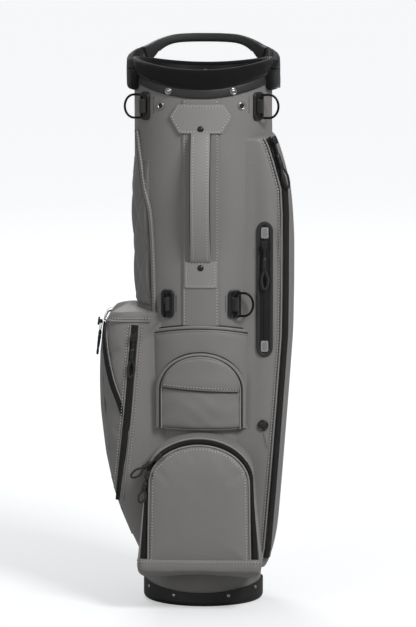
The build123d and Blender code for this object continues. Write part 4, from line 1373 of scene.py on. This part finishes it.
panelSizes = {
    "half": 79, "low": 283, "high": 447, "dip": 11, "lift": 7.4, "lowSeam": 285, "lowLift": 8.2,
    # (distance below the top edge, lift) of the cord, the fold and the dark cords of painted shade on both
    # sides of them
    "cord": (0.6, 2.6), "fold": (6.5, 6.6), "gaps": [(-1.9, 0.7), (3.6, 5.5)],
}
pouchSizes = {
    "half": 67, "low": 286, "spring": 345, "top": 405, "base": 7.5, "lift": 13.2, "sag": 1.8, "sagAt": 318,
    "sagTall": 22,
}
flapSizes = {
    "lowLeft": 352, "lowRight": 345, "base": 14.4, "lift": 17.6, "frame": 14.6, "frameIn": 2.5,
    "frameWide": 6.4, "inset": 6.5, "rise": 6, "swell": 1.6, "swellAt": 356, "swellTall": 16,
}


def wrinkles(x, z, amount):
    # long shallow creases of a pouch that is pulled down by its flap
    wave = math.sin(z * 210 + 5 * math.sin(x * 38)) * 0.5 + math.sin(z * 120 - x * 66 + 1.3) * 0.35
    wave += math.sin(x * 95 + z * 30) * 0.25
    return wave * amount


def bell(z, middle, tall):
    # 1 at a height and fading above and below it; the height and the fade in millimetres
    return math.exp(-((z - middle * mm) / (tall * mm)) ** 2)


def panelEdge(below, lift):
    # along the panel's bowed top edge, a little below it
    half, high, drop = panelSizes["half"], panelSizes["high"], panelSizes["dip"]
    return [front(x * mm, (high - drop * (x / half) ** 2 - below) * mm, lift * mm)
            for x in range(-half + 1, half, 3)]


def makeFrontPanel():
    half, low, high, drop = [panelSizes[key] for key in ("half", "low", "high", "dip")]
    side = high - drop
    ridge = [(x, high - drop * (x / half) ** 2, 0) for x in range(66, -67, -6)]
    outline = rounded([(-half, low, 1), (half, low, 1), (half, side, 3)] + ridge + [(-half, side, 3)], 4)
    lift = panelSizes["lift"]

    def place(x, z, rise):
        return front(x, z, rise + (wrinkles(x, z, 0.22 * mm) if rise > 6 * mm else 0))

    bm = bmesh.new()
    profile = [(0, 0.2), (0.3, 2), (1.2, 3.6), (3, 5.2), (6, 6.6), (10, lift), (15, lift + 0.3)]
    pad(bm, outline, place, profile, 220, 12, 0.3, 0)
    newPiece("front_panel_skin", bm, "leather", replaced=["front_panel"], sharp=70)
    pipes("front_panel_piping", [panelEdge(*panelSizes["cord"])], 1.6, "piping")
    pipes("front_panel_fold", [panelEdge(*panelSizes["fold"])], 0.9, "leather")
    # dark cords painted as shade along both sides of the cord and the fold, and down the panel's sides
    gaps = [panelEdge(*shadeLine) for shadeLine in panelSizes["gaps"]]
    for sign in (-1, 1):
        gaps.append([front(sign * (half + 0.8) * mm, z * mm, 0.5 * mm) for z in range(low, side, 4)])
    pipes("front_panel_gaps", gaps, 1.15, "binding")
    # the seam between the front panel and the ball pocket's section
    z, lift = panelSizes["lowSeam"] * mm, panelSizes["lowLift"] * mm
    pipes("front_lower_piping", [[front(x * mm, z, lift) for x in range(-76, 77, 4)]], 1.5, "piping")


def pouchArch(inset, lift):
    # a line round the pouch's arch, set in from its edge
    half, low, spring, top = [pouchSizes[key] for key in ("half", "low", "spring", "top")]
    line = archOutline(half - inset, half - inset, low, spring, top - inset, 60)
    return [front(p.x, p.y, lift * mm) for p in evenly(line, 170, False)]


def makePouch():
    half, low, spring, top = [pouchSizes[key] for key in ("half", "low", "spring", "top")]
    base, lift = pouchSizes["base"], pouchSizes["lift"]

    def place(x, z, rise):
        inside = max(0, min(1, (rise / mm - base) / (lift - base)))
        sag = pouchSizes["sag"] * mm * bell(z, pouchSizes["sagAt"], pouchSizes["sagTall"])
        sag *= 1 - (x / (half * mm)) ** 2
        return front(x, z, rise + inside * (wrinkles(x, z, 0.55 * mm) + sag))

    profile = [(0, base), (0.2, base + 2.4), (1, base + 4), (2.6, base + 5), (5, lift), (9, lift)]
    bm = bmesh.new()
    pad(bm, archOutline(half, half, low, spring, top), place, profile, 180, 16, 0.3, base - 2)
    piece = newPiece("valuables_pouch", bm, "leather", "bag", ["valuables_pocket"], 75)


def makeArch():
    # a piped frame round the whole arch, raised above the pouch
    high = flapSizes["frame"]
    path = pouchArch(flapSizes["frameIn"], pouchSizes["base"])
    tall = (high - pouchSizes["base"]) * mm
    bm = bmesh.new()
    sweep(bm, path, bar(flapSizes["frameWide"] * mm, -0.5 * mm, tall, 1.4 * mm), [outOf(p) for p in path])
    newPiece("valuables_frame", bm, "leather", sharp=70)
    pipes("valuables_arch_piping", [pouchArch(0.2, high - 1.2), pouchArch(5.4, high - 0.4)], 1.35, "piping")
    # dark cords painted as shade at the foot of the frame and between its two pipings
    gaps = [pouchArch(-1.8, panelSizes["lift"] + 0.6), pouchArch(2.8, high - 0.5)]
    pipes("valuables_gaps", gaps, 0.95, "binding")


def makeFlap():
    # the flap and the arch above it are one skin
    base, lift = flapSizes["base"], flapSizes["lift"]
    lowLeft, lowRight = flapSizes["lowLeft"], flapSizes["lowRight"]
    inner = pouchSizes["half"] - flapSizes["inset"]
    foot = pouchSizes["spring"] + flapSizes["rise"]
    height = pouchSizes["top"] - flapSizes["inset"] - foot
    shape = [Vector((-inner + 1, lowLeft)) * mm, Vector((inner - 1, lowRight)) * mm]
    for step in range(61):
        turn = math.pi * step / 60
        shape.append(Vector((inner * math.cos(turn), foot + height * math.sin(turn))) * mm)

    def place(x, z, rise):
        if rise <= (base + 1) * mm:
            return front(x, z, rise)
        swell = flapSizes["swell"] * mm * bell(z, flapSizes["swellAt"], flapSizes["swellTall"])
        return front(x, z, rise + swell + wrinkles(x, z * 0.6, 0.2 * mm))

    profile = [(0, base - 2), (0, lift - 3), (0.5, lift - 2), (1.8, lift - 1.3), (4, lift - 1)]
    bm = bmesh.new()
    pad(bm, shape, place, profile, 200, 16, 0.4, base - 2.4)
    flap = newPiece("valuables_flap_skin", bm, "leather", body="flap",
                    replaced=["valuables_flap", "valuables_yoke"], sharp=65)
    flap.parent = None
    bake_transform(flap)
    edge = []
    for x in range(-int(inner) + 2, int(inner) - 1, 2):
        share = (x + inner) / (2 * inner)
        edge.append((x, lowLeft + (lowRight - lowLeft) * share))

    def along(rise, out):
        return [front(x * mm, (z + rise) * mm, out * mm) for x, z in edge]

    sew(along(3.6, lift + 0.55), outOf, "flap")
    # a dark cord painted as the shadow under the flap, and the flap's piped lower edge
    pipes("valuables_flap_shade", [along(-1.6, lift - 2.6)], 1.6, "binding")
    pipes("valuables_flap_edge", [along(0.4, lift - 1.6)], 1.2, "piping", "flap")


ballSizes = {
    "lowHalf": 96, "springHalf": 83, "low": 78, "spring": 215, "top": 279, "front": -140,
    "panelHalf": 80, "panelTop": 268, "panelLift": 7.5, "bandLow": 12.5, "bandSpring": 2.5,
    # (y, how far in) of the rings of the pocket's wall, from the bag to its front edge
    "wall": [(-20, 2.0), (-60, 1.0)], "frontWall": [(-137, 0.6), (-139, 1.2), (-140, 2.6)],
    "hem": 86, "gussetSeam": -118, "seamGrow": 1.012,
}


def ballFace(x, z, lift):
    return Vector((x, ballSizes["front"] * mm - lift, z))


def ballArch(inset):
    # a line round the front edge of the pocket's wall
    s = ballSizes
    low, spring = s["low"], s["spring"]
    line = archOutline(s["lowHalf"] - inset, s["springHalf"] - inset, low, spring, s["top"] - inset, 60)
    return evenly(line, 160, False)


def panelArch(inset, low):
    # a line round the front panel of the pocket
    s = ballSizes
    half = s["panelHalf"] - inset
    return archOutline(half, half - 2, low, s["spring"] - 8, s["panelTop"] - inset, 60)


def makeGusset():
    s = ballSizes
    outline = archOutline(s["lowHalf"], s["springHalf"], s["low"], s["spring"], s["top"], 60)
    shape = evenly(outline, 200)
    centre = Vector((0, (s["low"] + s["top"]) / 2 * mm))
    slack = [(-60 - step * 8, 1.0 - 1.6 * math.sin(math.pi * step / 10)) for step in range(1, 10)]
    rings = []
    for y, inset in s["wall"] + slack + s["frontWall"]:
        ring = []
        for p in shape:
            inside = p - (p - centre).normalized() * inset * mm
            ring.append(Vector((inside.x, y * mm, inside.y)))
        rings.append(ring)
    for scale in (0.9, 0.5):
        inside = [centre + (p - centre) * scale for p in shape]
        rings.append([ballFace(p.x, p.y, 0) for p in inside])
    bm = bmesh.new()
    loftRings(bm, rings)
    newPiece("ball_gusset", bm, "leather", replaced=["ball_pocket"], sharp=60)
    ring = [Vector((p.x * s["seamGrow"], s["gussetSeam"] * mm, p.y + 0.0008)) for p in ballArch(1)]
    sew(ring, lambda spot: Vector((spot.x, 0, spot.z - 0.18)).normalized())


def makeZipBand(inner):
    # the tape between the panel and the pocket's wall
    s = ballSizes
    count = 160
    half = s["panelHalf"]
    outer = archOutline(half + s["bandLow"], half + s["bandSpring"], s["low"], s["spring"],
                        s["top"] - s["bandSpring"], 60)
    one, two = evenly(inner, count, False), evenly(outer, count, False)
    path = [ballFace((a.x + b.x) / 2, (a.y + b.y) / 2, 0.3 * mm) for a, b in zip(one, two)]
    widths = [max((a - b).length, 0.004) for a, b in zip(one, two)]

    def section(i):
        w = widths[i] / 2
        steps = [(w, -0.6), (w, 1.0), (w * 0.6, 1.4), (1.6 * mm, 1.5), (0.8 * mm, 2.0)]
        steps += [(0, 2.1)] + [(-a, b) for a, b in reversed(steps)]
        return [(a, b * mm) for a, b in steps]

    bm = bmesh.new()
    sweep(bm, path, section, facing)
    newPiece("ball_zip_band", bm, "zipTape", replaced=["ball_pocket_zip"], sharp=60)


def makeBallPocket():
    # the panel, its zip band and the two rows of piping
    s = ballSizes
    panel = panelArch(0, s["low"])
    lift = s["panelLift"]

    def place(x, z, rise):
        return ballFace(x, z, rise + (wrinkles(x, z * 0.7, 0.16 * mm) if rise > 5 * mm else 0))

    bm = bmesh.new()
    profile = [(0, 0), (0, 2), (0.3, 4.2), (1.2, 6), (3, 7), (6, lift), (12, lift + 0.6)]
    pad(bm, panel, place, profile, 220, 18, 1.2, -1)
    piece = newPiece("ball_panel", bm, "leather", "bag", ["ball_pocket_panel"], 75)
    puff(piece, 4.5, 4, 4, lambda p: p.y > -0.1435)
    makeZipBand(panel)
    pipes("ball_outer_piping", [[ballFace(p.x, p.y, -0.2 * mm) for p in ballArch(0.8)]], 1.6, "piping")
    edge = evenly(panelArch(0.3, s["low"] + 1), 160, False)
    pipes("ball_panel_piping", [[ballFace(p.x, p.y, 4.6 * mm) for p in edge]], 1.5, "piping")
    skin = skinOf(piece)
    seam = [ballFace(p.x, p.y, 9 * mm) for p in evenly(panelArch(6, s["low"] + 1), 160, False)]
    sew(laid(skin, seam, inward, 0.1), facing)
    # a stitched hem across the bottom of the panel
    hem = [ballFace(x * mm, s["hem"] * mm, 9 * mm) for x in range(-76, 77, 3)]
    sew(laid(skin, hem, inward, 0.1), facing)


hemSizes = {
    "low": 55, "turn": 73, "high": 88, "lowHalf": 84, "half": 96.4, "lowReach": 112, "reach": 150.2,
    "rows": 16,
    # (height, how far out) of the band above the turn
    "band": [(75, 0.5), (79, 0.6), (84, 0.2), (87, -0.3), (88, -1.2), (88, -4)],
    "stitch": 84.5, "stitchOut": 0.7,
}


def hemOutline(half, reach, back, count):
    corners = [(-half, back, 3), (-half, -reach, 12), (half, -reach, 12), (half, back, 3)]
    return evenly(rounded(corners, 8), count)


def hemOut(spot):
    # off the front of the band, or off its sides past the corners
    if abs(spot.x) < 0.09:
        return Vector((spot.x * 0.3, spot.y, 0)).normalized()
    return Vector((spot.x, 0, 0)).normalized()


def makeHem():
    # a stitched band round the bottom of the pocket, tucked under it
    h = hemSizes
    levels = []
    for row in range(h["rows"] + 1):
        share = row / h["rows"]
        ease = math.sin(share * math.pi / 2) ** 0.75
        half = h["lowHalf"] + (h["half"] - h["lowHalf"]) * ease
        reach = h["lowReach"] + (h["reach"] - h["lowReach"]) * ease
        levels.append((h["low"] + (h["turn"] - h["low"]) * share, half, reach, 1 - share))
    levels += [(z, h["half"] + grow, h["reach"] + grow, 0) for z, grow in h["band"]]
    rings = []
    for z, half, reach, slack in levels:
        fold = [Vector((p.x, p.y, z * mm)) for p in hemOutline(half, reach, -45, 180)]
        for p in fold:
            crease = math.sin(p.x * 150) * 0.5 + math.sin(p.x * 310 + 1) * 0.3 + math.sin(p.x * 74 + 2) * 0.7
            p.y += crease * mm * slack * 1.6
            if p.y < -0.1:
                p.z += 3.0 * mm * slack * math.cos(p.x * 30)
        rings.append(fold)
    bm = bmesh.new()
    loftRings(bm, rings)
    newPiece("ball_hem", bm, "leather", replaced=["ball_pocket_hem"], sharp=70)
    line = hemOutline(h["half"] + h["stitchOut"], h["reach"] + h["stitchOut"], -60, 200)
    line = sorted((p for p in line if p.y < -0.062), key=lambda p: math.atan2(p.x, -(p.y + 0.07)))
    sew([Vector((p.x, p.y, h["stitch"] * mm)) for p in line], hemOut)


# ---- zip sliders and pulls ----

pullSizes = {"link": 0.3, "linkTop": 1.85, "linkEnd": 0.8, "grip": 0.56, "wire": 1.8, "half": 5.2}
pulls = {
    # joint, node and body
    "side": ("side_pull_lift", "side_zip_pull", "side_pull"),
    "cooler": ("cooler_pull_lift", "cooler_zip_pull", "cooler_pull"),
    "cooler_side": ("cooler_side_pull_lift", "cooler_side_pull", "cooler_side_pull"),
    "apparel": ("apparel_pull_lift", "apparel_zip_pull", "apparel_pull"),
    "ball_a": ("ball_pull_a_lift", "ball_zip_pull_a", "ball_pull_a"),
    "ball_b": ("ball_pull_b_lift", "ball_zip_pull_b", "ball_pull_b"),
}


def pullFrame(joint, node):
    # hinge place, and the pull's own directions: across its bar, out of the bag, and down the tape
    pos = Vector(hinges[joint]["pos_m"])
    bar = Vector(hinges[joint]["axis"]).normalized()
    low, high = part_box(node)
    down = (low + high) / 2 - pos
    down = (down - bar * down.dot(bar)).normalized()
    out = down.cross(bar).normalized()
    corners = [Vector((x, y, z)) for x in (low.x, high.x) for y in (low.y, high.y) for z in (low.z, high.z)]
    reach = max(abs((corner - pos).dot(down)) for corner in corners)
    return pos, bar, out, down, reach


def boxy(bm, place, sides, sizes, soft, cuts=2):
    # a block with rounded edges: place, three directions and full sizes in metres
    made = bmesh.ops.create_cube(bm, size=1)["verts"]
    bmesh.ops.scale(bm, vec=sizes, verts=made)
    edges = []
    for vert in made:
        for edge in vert.link_edges:
            if edge not in edges:
                edges.append(edge)
    turned = Matrix(sides).transposed().to_4x4()
    bmesh.ops.transform(bm, matrix=Matrix.Translation(place) @ turned, verts=made)
    bmesh.ops.bevel(bm, geom=edges, offset=soft, segments=cuts, profile=0.5, affect="EDGES", material=-1)


def makePull(name):
    joint, node, body = pulls[name]
    pos, bar, out, down, reach = pullFrame(joint, node)
    linkEnd, gripEnd = reach * pullSizes["link"], reach * pullSizes["grip"]
    metal = bmesh.new()
    # a flat link that wraps round the slider's bar
    loop = []
    wide, narrow = pullSizes["linkTop"] * mm, pullSizes["linkEnd"] * mm
    for step in range(13):
        turn = math.pi * step / 12
        loop.append(pos + out * wide * math.cos(turn) - down * wide * math.sin(turn))
    for step in range(9):
        turn = math.pi * step / 8
        tip = pos + down * (linkEnd - 1.0 * mm)
        loop.append(tip - out * narrow * math.cos(turn) + down * narrow * math.sin(turn))
    sweep(metal, loop, disc(0.7 * mm, 10, 2.4), bar, loop=True)
    newPiece(f"pull_link_{name}", metal, "gunmetal", body, sharp=60)
    rubber = bmesh.new()
    rings = []
    steps = [(0.0, 1.6), (0.04, 2.7), (0.12, 3.4), (0.3, 3.7), (0.45, 3.3), (0.6, 3.6), (0.8, 3.8),
             (0.93, 3.3), (1.0, 2.1)]
    for share, radius in steps:
        spot = pos + down * (linkEnd - 2 * mm + (gripEnd - linkEnd + 2 * mm) * share)
        rings.append([spot + bar * a + out * b for a, b in disc(radius * mm, 16, 0.72)])
    loftRings(rubber, rings)
    newPiece(f"pull_grip_{name}", rubber, "rubber", body, replaced=[node], sharp=60)
    cord = bmesh.new()
    half = pullSizes["half"] * mm
    top = gripEnd - 1.5 * mm
    bottom = reach - pullSizes["wire"] * mm
    path = []
    for step in range(60):
        turn = 2 * math.pi * step / 60
        a, b = math.sin(turn), -math.cos(turn)
        share = (b + 1) / 2
        wideHere = half * (0.35 + 0.65 * min(1, share * 2.2))
        path.append(pos + bar * a * wideHere * (0.9 if a > 0 else 1.1) + down * (top + (bottom - top) * share)
                    + out * 0.5 * mm * math.sin(turn * 2))
    sweep(cord, path, disc(pullSizes["wire"] * mm, 10), out, loop=True)
    newPiece(f"pull_cord_{name}", cord, "braid", body, sharp=80)


def makeSlider(bm, pos, bar, out, down):
    # shoe on the tape, two cheeks and the bar the pull hangs on
    base = pos - out * 5.6 * mm
    sides = (bar, out, down)
    boxy(bm, base + out * 1.5 * mm, sides, (7.8 * mm, 2.8 * mm, 12.6 * mm), 0.9 * mm, 3)
    for side in (-1, 1):
        cheek = base + out * 4.2 * mm + bar * side * 3.3 * mm
        boxy(bm, cheek, sides, (1.3 * mm, 5.4 * mm, 5.6 * mm), 0.5 * mm)
    rings = []
    for across, radius in ((-3.6, 0.7), (-3.4, 1.0), (3.4, 1.0), (3.6, 0.7)):
        rings.append([pos + bar * across * mm + out * a + down * b for a, b in disc(radius * mm, 10)])
    loftRings(bm, rings)


def makePulls():
    for name in pulls:
        makePull(name)
    for name in ("side", "cooler", "apparel"):
        node, body = f"{name}_zip_slider", f"{name}_slider"
        bm = bmesh.new()
        pos, bar, out, down = pullFrame(*pulls[name][:2])[:4]
        makeSlider(bm, pos, bar, out, down)
        newPiece(f"slider_{name}", bm, "gunmetal", body, replaced=[node], sharp=45)
    bm = bmesh.new()
    for name in ("cooler_side", "ball_a", "ball_b"):
        pos, bar, out, down = pullFrame(*pulls[name][:2])[:4]
        makeSlider(bm, pos, bar, out, down)
    newPiece("sliders_fixed", bm, "gunmetal", "bag", ["fixed_zip_sliders"], 45)


# ---- what stays as the CAD made it ----

keptNodes = {
    "base_cup": "cupPlastic", "collar_ring": "blackPlastic", "divider_panels": "lining",
    "frame_stays": "framePlastic",
    "ring_upper_left": "ringMetal", "ring_upper_right": "ringMetal", "ring_lower_left": "ringMetal",
    "ring_lower_right": "ringMetal", "leg_left": "legTube", "leg_right": "legTube",
    "leg_link_left": "blackPlastic",
    "leg_link_right": "blackPlastic", "leg_foot_left": "footRubber", "leg_foot_right": "footRubber",
    "push_rod": "steel", "rod_guides": "framePlastic", "stand_pins": "steel", "stand_bracket": "framePlastic",
    "stand_pedal": "framePlastic",
}


def dressKept():
    for node, finish in keptNodes.items():
        for slot in frame["nodes"][node].material_slots:
            slot.material = finishes[finish]


# ---- camera, floor and light ----

viewSizes = {"distance": 6.0, "height": 1.259, "aim": 0.455, "turn": 2.7, "lens": 219.9, "shiftX": 0.0073}


def makeCamera():
    turn = math.radians(viewSizes["turn"])
    flat = viewSizes["distance"]
    camera = bpy.data.objects.new("camera", bpy.data.cameras.new("camera"))
    camera.location = (flat * math.sin(turn), -flat * math.cos(turn), viewSizes["height"])
    aim = Vector((0, 0, viewSizes["aim"])) - camera.location
    camera.rotation_euler = aim.to_track_quat("-Z", "Y").to_euler()
    camera.data.lens = viewSizes["lens"]
    camera.data.shift_x = viewSizes["shiftX"]
    camera.data.clip_end = 200
    scene.collection.objects.link(camera)
    scene.camera = camera


def floorFinish():
    # white paper to the eye, but it throws less light back up under the bag
    pale = Finish("pale_floor", Emission_Strength=1.0)
    cloudy = pale.noise(0.6, 2.0)
    away = pale.node("ShaderNodeVectorMath", {"operation": "LENGTH"}, {0: pale.place}, out="Value")
    pale.wire(pale.tones(away * 0.26, (0.385, 0.39, 0.395), (0.70, 0.71, 0.72)), "Emission Color")
    pale.wire(pale.tones(cloudy, grey(199), grey(203)), "Base Color")
    pale.wire(0.7 + cloudy * 0.1, "Roughness")
    seen = pale.node("ShaderNodeLightPath", out="Is Camera Ray")
    dull = pale.node("ShaderNodeBsdfDiffuse", None, {"Color": (0.42, 0.42, 0.42, 1)})
    bright = Wire(pale.tree, pale.shader.outputs[0])
    mixed = pale.node("ShaderNodeMixShader", None, {0: seen, 1: dull, 2: bright})
    pale.tree.links.new(mixed.socket, pale.tree.nodes["Material Output"].inputs["Surface"])
    return pale.material


def makeStage():
    bm = bmesh.new()
    bmesh.ops.create_grid(bm, x_segments=4, y_segments=4, size=40)
    mesh = bpy.data.meshes.new("floor")
    bm.to_mesh(mesh)
    bm.free()
    floor = bpy.data.objects.new("floor", mesh)
    mesh.materials.append(floorFinish())
    scene.collection.objects.link(floor)
    world = bpy.data.worlds.new("studio")
    world.use_nodes = True
    world.node_tree.nodes["Background"].inputs["Color"].default_value = (0.97, 0.985, 1.0, 1)
    world.node_tree.nodes["Background"].inputs["Strength"].default_value = 0.36
    scene.world = world
    scene.view_settings.view_transform = "Standard"


lamps = {
    # place, aim, width, height, watts
    "key": ((1.9, -2.4, 2.7), (0, 0, 0.5), 1.0, 1.0, 112),
    "fill": ((-2.4, -3.2, 1.6), (0, 0, 0.5), 1.4, 1.8, 26),
    "rim": ((-1.0, 3.2, 3.4), (0, 0, 0.6), 1.6, 1.2, 62),
}


def makeLamps():
    for name, (place, aim, wide, tall, watts) in lamps.items():
        light = bpy.data.lights.new(name, "AREA")
        light.shape = "RECTANGLE"
        light.size, light.size_y = wide, tall
        light.energy = watts
        lamp = bpy.data.objects.new(name, light)
        lamp.location = place
        lamp.rotation_euler = (Vector(aim) - Vector(place)).to_track_quat("-Z", "Y").to_euler()
        scene.collection.objects.link(lamp)


steps = [
    ("camera and light", (makeCamera, makeStage, makeLamps)),
    ("body and seams", (makeBody, makeBodySeams)),
    ("collar and divider", (makeCollar, makeTrim, makeDivider)),
    ("handles", (makeLiftHandle, makeSpine, makePatches, makeGrabStrap)),
    ("fasteners and ring patches", (makeFasteners, makeRingPatches)),
    ("quilting", (makeQuilt,)),
    ("side pockets", (makeCooler, makeApparel, makeBezel)),
    ("front pockets", (makeFrontPanel, makePouch, makeArch, makeFlap, makeGusset, makeBallPocket, makeHem)),
    ("zip pulls", (makePulls,)),
    ("stitches and kept parts", (makeSeams, dressKept)),
]
for text, makers in steps:
    stage(text)
    for maker in makers:
        maker()
